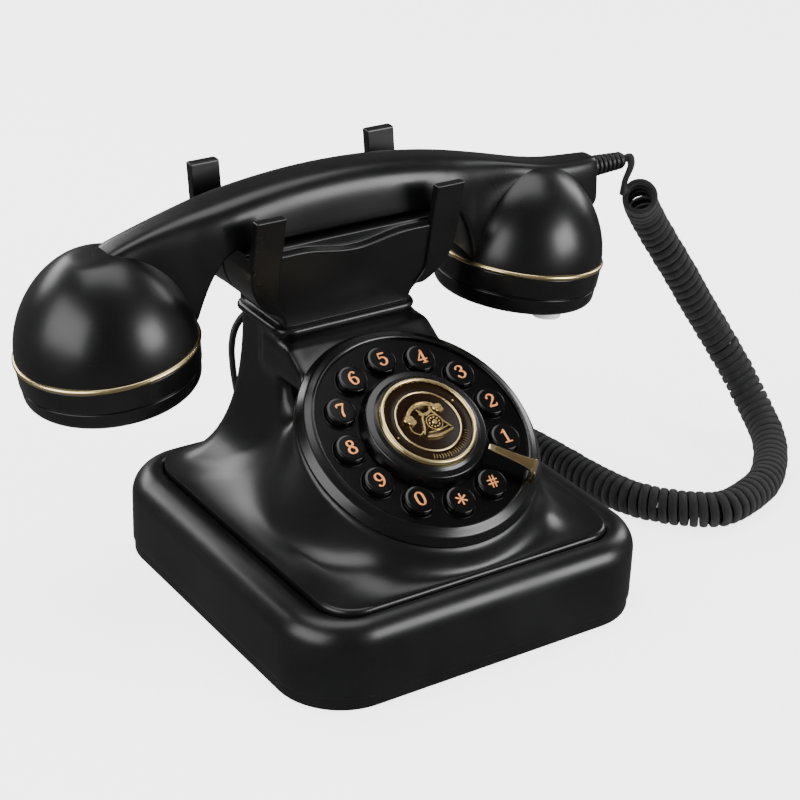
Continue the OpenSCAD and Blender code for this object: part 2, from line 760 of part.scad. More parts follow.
bottom_plate();
rubber_feet();
base_screws();
base_shell();
upper_housing();
ballast_bars();
circuit_board();
ringer_speaker();
line_socket();
handset_socket();
ringer_switch();
switch_body();
dial_ring();
dial_plate();
dial_hub();
badge_ring();
badge_disc();
badge_emblem();
finger_stop();
keypad_mat();
keypad_board();
for (i = [0 : 11])
    button(i);
cradle_front();
cradle_rear();
hook_plunger();
hook_switch();
cradle_screws();
handset_handle();
handle_cover();
handle_screws();
handset_weight();
dome(-1);  // earpiece_dome
gold_ring(-1);  // earpiece_ring
piece_cap(-1);  // earpiece_cap
receiver_capsule();
dome(1);  // mouthpiece_dome
gold_ring(1);  // mouthpiece_ring
piece_cap(1);  // mouthpiece_cap
microphone_capsule();
mouthpiece_horn();
strain_relief();
cord_lead();
curly_cord();
cord_tail();
cord_plug();
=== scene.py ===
import json
import math

import bmesh
import bpy
import numpy as np
from mathutils import Matrix, Vector


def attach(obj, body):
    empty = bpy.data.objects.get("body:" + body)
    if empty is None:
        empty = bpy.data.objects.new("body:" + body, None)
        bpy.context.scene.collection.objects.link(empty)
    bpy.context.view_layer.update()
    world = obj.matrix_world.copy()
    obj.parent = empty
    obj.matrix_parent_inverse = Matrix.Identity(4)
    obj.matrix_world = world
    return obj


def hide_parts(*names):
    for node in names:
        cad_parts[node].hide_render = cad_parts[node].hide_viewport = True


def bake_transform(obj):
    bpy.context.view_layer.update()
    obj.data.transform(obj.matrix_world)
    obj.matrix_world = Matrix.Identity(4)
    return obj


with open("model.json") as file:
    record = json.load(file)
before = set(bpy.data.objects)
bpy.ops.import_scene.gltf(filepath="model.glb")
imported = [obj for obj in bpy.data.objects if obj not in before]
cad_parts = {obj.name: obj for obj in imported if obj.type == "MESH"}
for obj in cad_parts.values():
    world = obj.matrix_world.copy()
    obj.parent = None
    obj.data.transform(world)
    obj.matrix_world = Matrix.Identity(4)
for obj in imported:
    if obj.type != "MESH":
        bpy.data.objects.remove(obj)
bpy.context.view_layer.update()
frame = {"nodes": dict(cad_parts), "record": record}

MM = 0.001
ROOT = "telephone"
SHARP_ANGLE = math.radians(38)


def put(name, data):
    """A new object in the scene."""
    obj = bpy.data.objects.new(name, data)
    bpy.context.scene.collection.objects.link(obj)
    return obj


def at(x, y, z=0):
    """The placement that moves a shape to a point."""
    return Matrix.Translation(Vector((x, y, z)))


# ---- camera

FOCAL, PICTURE, SENSOR = 2169.2, 800, 36.0
right = Vector((0.8339, -0.5509, 0.0342))
up = Vector((0.2231, 0.3931, 0.8920))
back = -Vector((0.5049, 0.7362, -0.4507))
camera = put("camera", bpy.data.cameras.new("camera"))
camera.matrix_world = Matrix.Translation(Vector((-399.39, -593.54, 434.89)) * MM) @ \
    Matrix((right, up, back)).transposed().to_4x4()
camera.data.sensor_width = SENSOR
camera.data.lens = FOCAL / PICTURE * SENSOR
camera.data.clip_start = 0.01
camera.data.clip_end = 50
bpy.context.scene.camera = camera


# ---- mesh helpers

def finish_mesh(name, verts, faces, material, body, replaces=(), slot=None, weighted=False,
                frame_matrix=None):
    """A mesh object from millimetres, smooth shaded, riding on a body."""
    matrix = frame_matrix or Matrix.Identity(4)
    mesh = bpy.data.meshes.new(name)
    points = [matrix @ Vector(v) for v in verts]
    mesh.from_pydata([(p.x * MM, p.y * MM, p.z * MM) for p in points], [], faces)
    mesh.validate()
    bm = bmesh.new()
    bm.from_mesh(mesh)
    bmesh.ops.remove_doubles(bm, verts=bm.verts, dist=1e-7)
    bmesh.ops.recalc_face_normals(bm, faces=bm.faces)
    bm.to_mesh(mesh)
    bm.free()
    for polygon in mesh.polygons:
        polygon.use_smooth = True
    mesh.materials.append(material)
    obj = put(name, mesh)
    if weighted:
        mesh.set_sharp_from_angle(angle=SHARP_ANGLE)
        modifier = obj.modifiers.new("weighted", "WEIGHTED_NORMAL")
        modifier.keep_sharp = True
        modifier.weight = 60
    if body:
        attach(obj, body)
    if replaces:
        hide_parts(*replaces)
    return obj


def add(parts, verts, faces, matrix=None):
    """Adds one lump of vertices and faces to parts = (verts, faces)."""
    base = len(parts[0])
    if matrix:
        verts = [tuple(matrix @ Vector(v)) for v in verts]
    parts[0].extend(verts)
    parts[1].extend([[base + i for i in f] for f in faces])


def rounded(points, steps=6, closed=True):
    """A polyline with its corners rounded: points are (x, y, radius)."""
    out = []
    n = len(points)
    for i, (x, y, r) in enumerate(points):
        if r <= 0 or (not closed and i in (0, n - 1)):
            out.append((x, y))
            continue
        p = Vector((x, y))
        a = Vector(points[i - 1][:2]) - p
        b = Vector(points[(i + 1) % n][:2]) - p
        half = a.angle(b) / 2
        reach = min(r / math.tan(half), a.length * 0.49, b.length * 0.49)
        r = reach * math.tan(half)
        centre = p + (a.normalized() + b.normalized()).normalized() * (r / math.sin(half))
        start = p + a.normalized() * reach - centre
        end = p + b.normalized() * reach - centre
        turn = start.angle_signed(end)
        for k in range(steps + 1):
            angle = -turn * k / steps
            c, s = math.cos(angle), math.sin(angle)
            out.append((centre.x + start.x * c - start.y * s, centre.y + start.x * s + start.y * c))
    return out


def lathe(profile, segments=96):
    """Turns a profile of (radius, height) about the Z axis."""
    verts, faces, rings = [], [], []
    for r, z in profile:
        if r < 1e-6:
            rings.append([len(verts)])
            verts.append((0, 0, z))
        else:
            rings.append(list(range(len(verts), len(verts) + segments)))
            verts += [(r * math.cos(2 * math.pi * k / segments),
                       r * math.sin(2 * math.pi * k / segments), z) for k in range(segments)]
    for a, b in zip(rings, rings[1:]):
        for k in range(segments):
            j = (k + 1) % segments
            if len(a) == 1 and len(b) == 1:
                continue
            if len(a) == 1:
                faces.append([a[0], b[k], b[j]])
            elif len(b) == 1:
                faces.append([a[k], a[j], b[0]])
            else:
                faces.append([a[k], a[j], b[j], b[k]])
    return verts, faces


def loft(rings, caps=(True, True), closed=False):
    """Quads between rings of equally many points."""
    n = len(rings[0])
    verts = [p for ring in rings for p in ring]
    faces = []
    count = len(rings)
    for i in range(count if closed else count - 1):
        for j in range(n):
            k = (j + 1) % n
            m = (i + 1) % count
            faces.append([i * n + j, i * n + k, m * n + k, m * n + j])
    if caps[0] and not closed:
        faces.append(list(range(n)))
    if caps[1] and not closed:
        faces.append([(count - 1) * n + j for j in range(n)])
    return verts, faces


def round_rect(hw, y0, y1, r, z, arc=20, side=8):
    """A rounded rectangle at height z, counter-clockwise, with points along its sides too."""
    ring = []
    corners = [(hw - r, y1 - r), (-hw + r, y1 - r), (-hw + r, y0 + r), (hw - r, y0 + r)]
    for k, (cx, cy) in enumerate(corners):
        for j in range(arc + 1):
            a = math.pi / 2 * (k + j / arc)
            ring.append((cx + r * math.cos(a), cy + r * math.sin(a), z))
        a = math.pi / 2 * (k + 1)
        nx, ny = corners[(k + 1) % 4]
        p = ring[-1]
        q = (nx + r * math.cos(a), ny + r * math.sin(a))
        for j in range(1, side):
            t = j / side
            ring.append((p[0] + (q[0] - p[0]) * t, p[1] + (q[1] - p[1]) * t, z))
    return ring


def offset(outline, d):
    """Moves a closed 2-D outline inwards by d (counter-clockwise outlines shrink)."""
    n = len(outline)
    out = []
    for i in range(n):
        p = Vector(outline[i])
        a = Vector(outline[i - 1])
        b = Vector(outline[(i + 1) % n])
        t = (b - a)
        if t.length < 1e-9:
            out.append(tuple(p))
            continue
        t.normalize()
        out.append((p.x - t.y * d, p.y + t.x * d))
    return out


def smooth_path(points, per_segment=8):
    """Catmull-Rom through points of any dimension, as a numpy array."""
    p = np.array(points, float)
    out = []
    for i in range(len(p) - 1):
        p0, p1, p2, p3 = p[max(0, i - 1)], p[i], p[i + 1], p[min(len(p) - 1, i + 2)]
        for k in range(per_segment):
            t = k / per_segment
            out.append(0.5 * (2 * p1 + (p2 - p0) * t + (2 * p0 - 5 * p1 + 4 * p2 - p3) * t * t
                              + (3 * p1 - p0 - 3 * p2 + p3) * t ** 3))
    out.append(p[-1])
    return np.array(out)


def even(path, count):
    """The path resampled to count points at equal spacing."""
    steps = np.linalg.norm(np.diff(path, axis=0), axis=1)
    s = np.concatenate([[0], np.cumsum(steps)])
    t = np.linspace(0, s[-1], count)
    return np.stack([np.interp(t, s, path[:, k]) for k in range(path.shape[1])], axis=1), s[-1]


def frames_along(path, first=(0.1, 1, 0.2)):
    """Tangents and untwisted side vectors along a path."""
    tangents = np.gradient(path, axis=0)
    tangents /= np.linalg.norm(tangents, axis=1)[:, None]
    side = np.array(first, float)
    us = []
    for t in tangents:
        side = side - side.dot(t) * t
        side /= np.linalg.norm(side)
        us.append(side)
    us = np.array(us)
    return tangents, us, np.cross(tangents, us)


# ---- materials

PLASTIC_GRAIN, METAL_GRAIN = 0.00002, 0.00001    # depth of the surface grain, in metres


def tree(name):
    """A new material, with what is needed to build its nodes."""
    material = bpy.data.materials.new(name)
    material.use_nodes = True
    nodes = material.node_tree.nodes
    links = material.node_tree.links
    shader = nodes["Principled BSDF"]
    coords = nodes.new("ShaderNodeTexCoord")
    return material, nodes, links, shader, coords


def noise(nodes, links, coords, scale, detail=3.0):
    node = nodes.new("ShaderNodeTexNoise")
    node.inputs["Scale"].default_value = scale
    node.inputs["Detail"].default_value = detail
    links.new(coords.outputs["Object"], node.inputs["Vector"])
    return node


def ranged(nodes, links, value, low, high, out_low, out_high):
    node = nodes.new("ShaderNodeMapRange")
    node.inputs["From Min"].default_value = low
    node.inputs["From Max"].default_value = high
    node.inputs["To Min"].default_value = out_low
    node.inputs["To Max"].default_value = out_high
    links.new(value, node.inputs["Value"])
    return node.outputs["Result"]


def ramp(nodes, links, value, stops):
    node = nodes.new("ShaderNodeValToRGB")
    elements = node.color_ramp.elements
    while len(elements) < len(stops):
        elements.new(0.5)
    for element, (place, colour) in zip(elements, stops):
        element.position = place
        element.color = (*colour, 1)
    links.new(value, node.inputs["Fac"])
    return node.outputs["Color"]


def bump(nodes, links, shader, height, strength, distance):
    node = nodes.new("ShaderNodeBump")
    node.inputs["Strength"].default_value = strength
    node.inputs["Distance"].default_value = distance
    links.new(height, node.inputs["Height"])
    links.new(node.outputs["Normal"], shader.inputs["Normal"])


def clouded(name, dark, light, rough, spread, fine, cloud, relief):
    """A material with a fine grain, and faint cloudiness in its gloss and colour."""
    material, nodes, links, shader, coords = tree(name)
    grain = noise(nodes, links, coords, *fine).outputs["Fac"]
    clouds = noise(nodes, links, coords, *cloud).outputs["Fac"]
    links.new(ramp(nodes, links, clouds, [(0.3, dark), (0.7, light)]), shader.inputs["Base Color"])
    links.new(ranged(nodes, links, clouds, 0.3, 0.7, rough - spread, rough + spread),
              shader.inputs["Roughness"])
    bump(nodes, links, shader, grain, *relief)
    return material, shader


def plastic(name, colour, rough, grain=2600, spread=0.04, coat=0.0, strength=0.1, specular=0.5):
    """Moulded plastic or rubber."""
    dark, light = tuple(c * 0.8 for c in colour), tuple(c * 1.25 + 0.0005 for c in colour)
    material, shader = clouded(name, dark, light, rough, spread, (grain, 2.0), (35, 4.0),
                               (strength, PLASTIC_GRAIN))
    shader.inputs["IOR"].default_value = 1.5
    shader.inputs["Specular IOR Level"].default_value = specular
    if coat:
        shader.inputs["Coat Weight"].default_value = coat
        shader.inputs["Coat Roughness"].default_value = 0.08
    return material


def metal(name, colour, rough):
    """Plated or bare metal."""
    dark, light = tuple(c * 0.82 for c in colour), tuple(min(1, c * 1.1) for c in colour)
    material, shader = clouded(name, dark, light, rough, 0.05, (900,), (60,), (0.2, METAL_GRAIN))
    shader.inputs["Metallic"].default_value = 1.0
    return material


def braid(name, along, around):
    """Woven braid: diamonds of thread on the strand's own coordinates."""
    material, nodes, links, shader, coords = tree(name)
    mapping = nodes.new("ShaderNodeMapping")
    mapping.inputs["Rotation"].default_value = (0, 0, math.radians(45))
    mapping.inputs["Scale"].default_value = (along, around, 1)
    links.new(coords.outputs["UV"], mapping.inputs["Vector"])
    cells = nodes.new("ShaderNodeTexVoronoi")
    cells.distance = "CHEBYCHEV"
    cells.inputs["Scale"].default_value = 1.0
    cells.inputs["Randomness"].default_value = 0.12
    links.new(mapping.outputs["Vector"], cells.inputs["Vector"])
    fuzz = noise(nodes, links, coords, 1800, 4.0)
    height = nodes.new("ShaderNodeMath")
    height.operation = "MULTIPLY_ADD"
    links.new(fuzz.outputs["Fac"], height.inputs[0])
    height.inputs[1].default_value = 0.35
    links.new(ranged(nodes, links, cells.outputs["Distance"], 0.0, 0.55, 1.0, 0.0), height.inputs[2])
    links.new(ramp(nodes, links, cells.outputs["Distance"],
                   [(0.06, (0.010, 0.010, 0.0105)), (0.40, (0.0010, 0.0010, 0.0010))]),
              shader.inputs["Base Color"])
    links.new(ranged(nodes, links, fuzz.outputs["Fac"], 0.3, 0.7, 0.5, 0.75), shader.inputs["Roughness"])
    bump(nodes, links, shader, height.outputs[0], 0.9, 0.0003)
    shader.inputs["Sheen Weight"].default_value = 0.08
    shader.inputs["Sheen Roughness"].default_value = 0.4
    return material


SHELL = plastic("satin_black", (0.0020, 0.0020, 0.0022), 0.31)
BASE = plastic("satin_black_base", (0.0020, 0.0020, 0.0022), 0.34, strength=0.14)
HANDSET = plastic("satin_black_handset", (0.0018, 0.0018, 0.002), 0.31)
CAP = plastic("gloss_black_cap", (0.0022, 0.0022, 0.0024), 0.22, strength=0.15)
DIAL = plastic("black_dial", (0.0014, 0.0014, 0.0016), 0.24, strength=0.12)
PLATE = plastic("black_plate", (0.0010, 0.0010, 0.0011), 0.22, spread=0.02, specular=0.2)
BUTTON = plastic("gloss_black_button", (0.0012, 0.0012, 0.0013), 0.16, strength=0.06, spread=0.03,
                 specular=0.4)
GOLD = metal("gold_trim", (0.95, 0.74, 0.38), 0.26)
STOP = metal("pale_gold", (0.86, 0.70, 0.42), 0.2)
STOP_FACE = metal("brown_gold", (0.26, 0.18, 0.08), 0.34)
EMBLEM = metal("gold_relief", (0.90, 0.66, 0.28), 0.24)
BROWN = plastic("brown_enamel", (0.012, 0.0052, 0.0018), 0.24, grain=600, specular=0.18)
ORANGE = plastic("orange_print", (0.95, 0.36, 0.10), 0.45, grain=900)
OUTLINE = plastic("brown_print", (0.10, 0.03, 0.01), 0.45, grain=900)
RUBBER = plastic("black_rubber", (0.003, 0.003, 0.003), 0.42, grain=1800, strength=0.4)
STEEL = metal("zinc_steel", (0.5, 0.5, 0.52), 0.35)
IRON = metal("raw_iron", (0.22, 0.22, 0.23), 0.55)
# Painted reflection: the chrome horn is drawn as a pale, diffuse plastic whose light colour stands in
# for the bright shine of its chrome.
CHROME_REFLECTION_PAINT = plastic("pale_painted_chrome_reflection", (0.55, 0.55, 0.57), 0.2, coat=0.6)
BOARD = plastic("green_board", (0.01, 0.09, 0.04), 0.4, grain=500)
GREY = plastic("grey_rubber", (0.16, 0.16, 0.17), 0.6, grain=1500, strength=0.4)
CONE = plastic("black_cone", (0.02, 0.02, 0.02), 0.7, grain=1500, strength=0.5)
CLEAR = plastic("smoked_plug", (0.05, 0.05, 0.055), 0.18, grain=800, coat=0.3)
BRAID = braid("black_braid", 2400, 16)

NODE_MATERIALS = {
    "shell_black": SHELL, "base_black": BASE, "dial_black": DIAL, "button_black": BUTTON,
    "gold_trim": GOLD, "gold_stop": STOP, "badge_brown": BROWN, "foot_rubber": RUBBER,
    "mat_rubber": GREY, "screw_steel": STEEL, "weight_iron": IRON, "board_green": BOARD,
    "socket_black": CAP, "slider_black": BASE, "cap_black": CAP, "handset_black": HANDSET,
    "capsule_metal": STEEL, "speaker_cone": CONE, "horn_chrome": CHROME_REFLECTION_PAINT,
    "relief_rubber": RUBBER, "cord_braid": BRAID, "plug_clear": CLEAR}
slots = {s["node"]: s["material_slot"] for s in frame["record"]["subparts"]}
for node, obj in frame["nodes"].items():
    obj.data.materials.clear()
    obj.data.materials.append(NODE_MATERIALS[slots[node]])

# ---- the cords

COIL_R = 7.3      # millimetres, as are all shapes below
STRAND_W = 3.5
STRAND_T = 2.4
STRAND_SIDES = 14
PITCH = 3.75
PER_TURN = 26
lead_route = [(140.9, 42, 128.8), (142.9, 41.8, 129.2), (143.8, 40.6, 129.6), (142.7, 38.3, 127),
              (139.2, 37.1, 121.6), (138.2, 36.8, 116.6)]
coil_route = [(145.6, 34.4, 114.9), (149.4, 38.4, 110.6), (154.2, 41.4, 104.8), (160, 41.4, 96),
              (166, 39, 86), (174, 36, 73), (180, 33, 62), (186, 29, 51), (190, 24, 42),
              (194, 18, 32), (196, 11, 23), (196, 3, 16), (193, -7, 11), (185, -18, 8),
              (170, -31, 7.4), (153, -38, 7.4), (139, -40, 7.4), (128, -34, 7.4), (119, -25, 7.4),
              (112, -13, 7.4), (108, 6, 7.4), (106, 26, 7.4), (103, 46, 7.4), (96, 66, 7.4),
              (83, 84, 7.4), (65, 95, 7.4), (46, 99, 7.4)]
tail_route = [(45.8, 99, 7.4), (38, 100, 9), (28, 98, 17), (20, 92, 31), (12, 82, 49),
              (4, 71, 67), (-4, 63.6, 82), (-13, 61.8, 90), (-22, 61.6, 89.6), (-27.2, 61.8, 84.5),
              (-28.9, 62, 77), (-28, 63, 68), (-25, 66, 57), (-20, 72, 46), (-15, 80, 36),
              (-11, 86, 27), (-8.6, 88, 20), (-8, 86, 16.4), (-8, 82.2, 16)]


def strand(name, path, normals, body, replaces):
    """A flat braided strand with rounded edges along a path; normals point across its thickness."""
    n = len(path)
    tangents = np.gradient(path, axis=0)
    tangents /= np.linalg.norm(tangents, axis=1)[:, None]
    normals = normals - (normals * tangents).sum(1)[:, None] * tangents
    normals /= np.linalg.norm(normals, axis=1)[:, None]
    across = np.cross(tangents, normals)
    sides, corner = STRAND_SIDES, 0.75
    angles = np.arange(sides) / sides * 2 * np.pi
    wide = np.sign(np.cos(angles)) * np.abs(np.cos(angles)) ** corner * STRAND_W / 2
    thick = np.sign(np.sin(angles)) * np.abs(np.sin(angles)) ** corner * STRAND_T / 2
    rings = path[:, None, :] + wide[None, :, None] * across[:, None, :] \
        + thick[None, :, None] * normals[:, None, :]
    verts = [tuple(v) for v in rings.reshape(-1, 3)]
    faces = []
    for i in range(n - 1):
        for j in range(sides):
            k = (j + 1) % sides
            faces.append([i * sides + j, i * sides + k, (i + 1) * sides + k, (i + 1) * sides + j])
    faces.append(list(range(sides)))
    faces.append([(n - 1) * sides + j for j in range(sides)])
    obj = finish_mesh(name, verts, faces, BRAID, body)
    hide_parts(*replaces)
    lengths = np.concatenate([[0], np.cumsum(np.linalg.norm(np.diff(path, axis=0), axis=1))]) * MM
    layer = obj.data.uv_layers.new(name="strand")
    for polygon in obj.data.polygons:
        rows = [obj.data.loops[i].vertex_index for i in polygon.loop_indices]
        columns = [v % sides for v in rows]
        wraps = 0 in columns and sides - 1 in columns
        for loop_index, vertex in zip(polygon.loop_indices, rows):
            column = vertex % sides
            if wraps and column == 0:
                column = sides
            layer.data[loop_index].uv = (lengths[vertex // sides], column / sides)
    return obj, float(lengths[-1])


# The lead folds over at the strain relief, runs down beside the first turn and joins it.
axis_path, axis_length = even(smooth_path(coil_route, 24), 1600)
turns = axis_length / PITCH
tangents, side_u, side_v = frames_along(axis_path)
t = np.linspace(0, 1, int(turns * PER_TURN))
where = t * (len(axis_path) - 1)
low = np.minimum(where.astype(int), len(axis_path) - 2)
mix = (where - low)[:, None]


def along(values):
    return values[low] * (1 - mix) + values[low + 1] * mix


centre, u, v = along(axis_path), along(side_u), along(side_v)
entry = np.array(lead_route[-1]) - axis_path[0]
phase0 = math.atan2(entry.dot(side_v[0]), entry.dot(side_u[0]))
phase = phase0 + 2 * np.pi * turns * t
wobble = 1 + 0.012 * np.sin(phase * 0.37 + 1.1) + 0.008 * np.sin(phase * 1.7)
radial = np.cos(phase)[:, None] * u + np.sin(phase)[:, None] * v
radius = (COIL_R - STRAND_T / 2) * wobble
helix = centre + radial * radius[:, None]
lead = smooth_path(lead_route, 6)[:-1]
join = smooth_path([lead[-2], lead[-1], helix[2], helix[6]], 5)[6:10]
coil_path = np.vstack([lead, join, helix[2:]])
lead_normal = np.tile(np.array([-0.75, -0.2, 0.6]), (len(lead) + len(join), 1))
fade = np.linspace(0, 1, len(lead_normal))[:, None]
lead_normal = lead_normal * (1 - fade) + radial[2] * fade
coil_normals = np.vstack([lead_normal, radial[2:]])
coil, coil_length = strand("curly_strand", coil_path, coil_normals, None,
                           ("curly_cord", "cord_lead"))

tail_path, _ = even(smooth_path([tuple(helix[-1])] + tail_route[1:], 12), 200)
tail_normal = frames_along(tail_path, (0.3, 0.2, 1))[1]
turn_over = np.linspace(1, 0, 12)[:, None]      # from lying on the coil to lying flat
tail_normal[:12] = radial[-1] * turn_over + tail_normal[:12] * turn_over[::-1]
tail, tail_length = strand("tail_strand", tail_path, tail_normal, ROOT, ("cord_tail",))

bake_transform(coil)

# ---- base

BASE_HW, BASE_HD, BASE_R = 75.0, 77.0, 25.5
PLINTH_HW, PLINTH_Y0, PLINTH_Y1, PLINTH_R = 61.0, -68.3, 66.7, 13.0
PLINTH_Z = 35.4


def base_ring(ix, iy, z, r=None):
    return round_rect(BASE_HW - ix, -BASE_HD + iy, BASE_HD - iy,
                      BASE_R - (ix + iy) / 2 if r is None else r, z)


rings = [base_ring(2.5, 2.5, 5.2), base_ring(0.75, 0.75, 4.95), base_ring(0.3, 0.3, 5.1),
         base_ring(0.05, 0.05, 5.5), base_ring(0, 0, 6.2)]
rings += [base_ring(0, 0, z) for z in (10, 14, 18, 21.5, 23.2)]
for k in range(13):
    a = math.pi / 2 * k / 12
    rings.append(base_ring(9.5 * (1 - math.cos(a)), 8.0 * (1 - math.cos(a)), 24.0 + 9.5 * math.sin(a)))
for k, (ix, iy, z) in enumerate([(11.2, 8.25, 33.1), (12.9, 8.45, 32.4), (13.5, 8.6, 31.9),
                                 (13.75, 8.75, 31.2), (15.5, 11, 30.9)]):
    rings.append(base_ring(ix, iy, z, 15.5 - 0.5 * k))
verts, faces = loft(rings, caps=(False, False))
finish_mesh("base_body", verts, faces, BASE, ROOT, ("base_shell",), "base_black")

# ---- dial frame

DIAL_Y, DIAL_Z, DIAL_SLOPE = -27.6, 74.7, math.radians(31.4)
DIAL_FRAME = at(0, DIAL_Y, DIAL_Z) @ Matrix.Rotation(DIAL_SLOPE, 4, "X")
SIN, COS = math.sin(DIAL_SLOPE), math.cos(DIAL_SLOPE)
RIM_R, RIM_DROP = 47.6, 6

# ---- upper housing

NECK_HW, NECK_Y0, NECK_Y1 = 28.7, 24.4, 57.8
NECK_Z = 92.0
HOOD_HW, HOOD_Y0, HOOD_Y1, HOOD_TOP, HOOD_FOOT = 31.0, -4.0, 40.0, 94.6, 78


def flare(u):
    """How far a wall has spread at height u: 1 at the foot, 0 at the top."""
    return (1 - np.sqrt(np.clip(u, 0, 1))) ** 2


def box_distance(x, y, hw, y0, y1, r):
    """Signed distance in a level slice to a rounded rectangle."""
    qx = np.abs(x) - hw + r
    qy = np.abs(y - (y0 + y1) / 2) - (y1 - y0) / 2 + r
    outside = np.sqrt(np.maximum(qx, 0) ** 2 + np.maximum(qy, 0) ** 2)
    return outside + np.minimum(np.maximum(qx, qy), 0) - r


foot = np.array([p[:2] for p in round_rect(PLINTH_HW, PLINTH_Y0, PLINTH_Y1, PLINTH_R, 0, 12, 6)])
foot_angle = np.arctan2(foot[:, 1], foot[:, 0])
order = np.argsort(foot_angle)
foot, foot_angle = foot[order], foot_angle[order]
rim_angles = np.linspace(-np.pi, np.pi, 145)[:-1]
rim_x = RIM_R * np.cos(rim_angles)
rim_y = DIAL_Y + RIM_R * np.sin(rim_angles) * COS + RIM_DROP * SIN
rim_z = DIAL_Z + RIM_R * np.sin(rim_angles) * SIN - RIM_DROP * COS
low_x = np.interp(rim_angles, foot_angle, foot[:, 0], period=2 * np.pi)
low_y = np.interp(rim_angles, foot_angle, foot[:, 1], period=2 * np.pi)


def drum_distance(x, y, z):
    """Signed distance in a level slice to the drum below the dial ring."""
    out = np.empty(len(x))
    for a in range(0, len(x), 20000):
        b = min(len(x), a + 20000)
        zz = z[a:b, None]
        s = flare((zz - PLINTH_Z) / (rim_z[None, :] - PLINTH_Z))
        cx = rim_x + (low_x - rim_x) * s
        cy = rim_y + (low_y - rim_y) * s
        dx, dy = np.roll(cx, -1, 1) - cx, np.roll(cy, -1, 1) - cy
        px, py = x[a:b, None] - cx, y[a:b, None] - cy
        t = np.clip((px * dx + py * dy) / (dx * dx + dy * dy + 1e-12), 0, 1)
        distance = np.sqrt(((px - t * dx) ** 2 + (py - t * dy) ** 2).min(1))
        ny = np.roll(cy, -1, 1)
        crosses = ((cy > y[a:b, None]) != (ny > y[a:b, None])) & \
            (x[a:b, None] < dx * (y[a:b, None] - cy) / np.where(dy == 0, 1e-12, dy) + cx)
        out[a:b] = np.where(crosses.sum(1) % 2 == 1, -distance, distance)
    return out


def smooth_min(a, b, k):
    """The smaller of two distances, blended where they are within k."""
    h = np.clip(0.5 + 0.5 * (b - a) / k, 0, 1)
    return b + (a - b) * h - k * h * (1 - h)


def housing_value(x, y, z):
    """Negative inside the housing: neck and skirt, drum, and the hood between them."""
    s = flare((z - PLINTH_Z) / (NECK_Z - PLINTH_Z))
    neck_only = box_distance(x, y, NECK_HW + (PLINTH_HW - NECK_HW) * s,
                             NECK_Y0 + (PLINTH_Y0 - NECK_Y0) * s,
                             NECK_Y1 + (PLINTH_Y1 - NECK_Y1) * s, 5 + 8 * s)
    drum = drum_distance(x, y, z)
    hood_side = box_distance(x, y, HOOD_HW, HOOD_Y0, HOOD_Y1, 6)
    lid = np.maximum(z - HOOD_TOP, -(y - DIAL_Y - RIM_DROP * SIN) * SIN
                     + (z - DIAL_Z + RIM_DROP * COS) * COS - 0.3)
    h = np.clip(0.5 - 0.5 * (lid - hood_side) / 4.0, 0, 1)
    hood = lid * (1 - h) + hood_side * h + 4.0 * h * (1 - h)
    hood = -smooth_min(-hood, z - HOOD_FOOT, 6.0)
    solid = smooth_min(smooth_min(neck_only, drum, 10.0), hood, 3.0)
    face = -(y - DIAL_Y) * SIN + (z - DIAL_Z) * COS + 6.15
    return -smooth_min(-solid, -face, 2.6)


def surface_net():
    """The housing's surface as quads, on a grid whose height steps follow the flare."""
    gx = np.arange(-63.0, 63.01, 1.5)
    gy = np.arange(-71.0, 70.01, 1.5)
    gt = np.linspace(0.02, 1.06, 84)
    height = PLINTH_Z + (NECK_Z - PLINTH_Z) * gt ** 2
    x, y, z = np.meshgrid(gx, gy, height, indexing="ij")
    value = housing_value(x.ravel(), y.ravel(), z.ravel()).reshape(x.shape)
    inside = value < 0
    nx, ny, nz = value.shape
    total = np.zeros((nx - 1, ny - 1, nz - 1, 3))
    count = np.zeros((nx - 1, ny - 1, nz - 1))
    corners = [(i, j, k) for i in (0, 1) for j in (0, 1) for k in (0, 1)]
    edges = [(a, b) for a in corners for b in corners if sum(b) - sum(a) == 1
             and all(q >= p for p, q in zip(a, b))]

    def part(array, c):
        return array[c[0]:nx - 1 + c[0], c[1]:ny - 1 + c[1], c[2]:nz - 1 + c[2]]

    for a, b in edges:
        va, vb = part(value, a), part(value, b)
        hit = (va < 0) != (vb < 0)
        t = np.where(hit, va / np.where(hit, va - vb, 1), 0)
        for axis in range(3):
            total[..., axis] += np.where(hit, a[axis] + (b[axis] - a[axis]) * t, 0)
        count += hit
    active = count > 0
    index = -np.ones(active.shape, int)
    index[active] = np.arange(active.sum())
    cell = np.argwhere(active)
    place = cell + total[active] / count[active][:, None]
    points = np.stack([np.interp(place[:, 0], np.arange(nx), gx),
                       np.interp(place[:, 1], np.arange(ny), gy),
                       PLINTH_Z + (NECK_Z - PLINTH_Z)
                       * np.interp(place[:, 2], np.arange(nz), gt) ** 2], 1)
    faces = []
    for axis in range(3):
        o1, o2 = [k for k in range(3) if k != axis]
        lo = [slice(None)] * 3
        hi = [slice(None)] * 3
        lo[axis], hi[axis] = slice(0, -1), slice(1, None)
        flips = inside[tuple(lo)] != inside[tuple(hi)]
        for c in np.argwhere(flips):
            if min(c[o1], c[o2]) == 0 or any(c[o] >= value.shape[o] - 1 for o in (o1, o2)):
                continue
            quad = []
            for d1, d2 in ((1, 1), (0, 1), (0, 0), (1, 0)):
                q = list(c)
                q[o1] -= d1
                q[o2] -= d2
                quad.append(index[tuple(q)])
            if min(quad) >= 0:
                faces.append([int(i) for i in quad])
    step = 0.05
    for _ in range(3):       # settle the points on the surface
        here = housing_value(*points.T)
        gradient = np.stack([(housing_value(*(points + np.eye(3)[k] * step).T) - here) / step
                             for k in range(3)], 1)
        size = (gradient ** 2).sum(1)
        move = -here / np.maximum(size, 0.5)
        points += np.clip(move[:, None] * gradient, -0.6, 0.6)
    return points, faces


points, faces = surface_net()
mesh = bpy.data.meshes.new("housing_body")
mesh.from_pydata([tuple(p) for p in points], [], faces)
bm = bmesh.new()
bm.from_mesh(mesh)


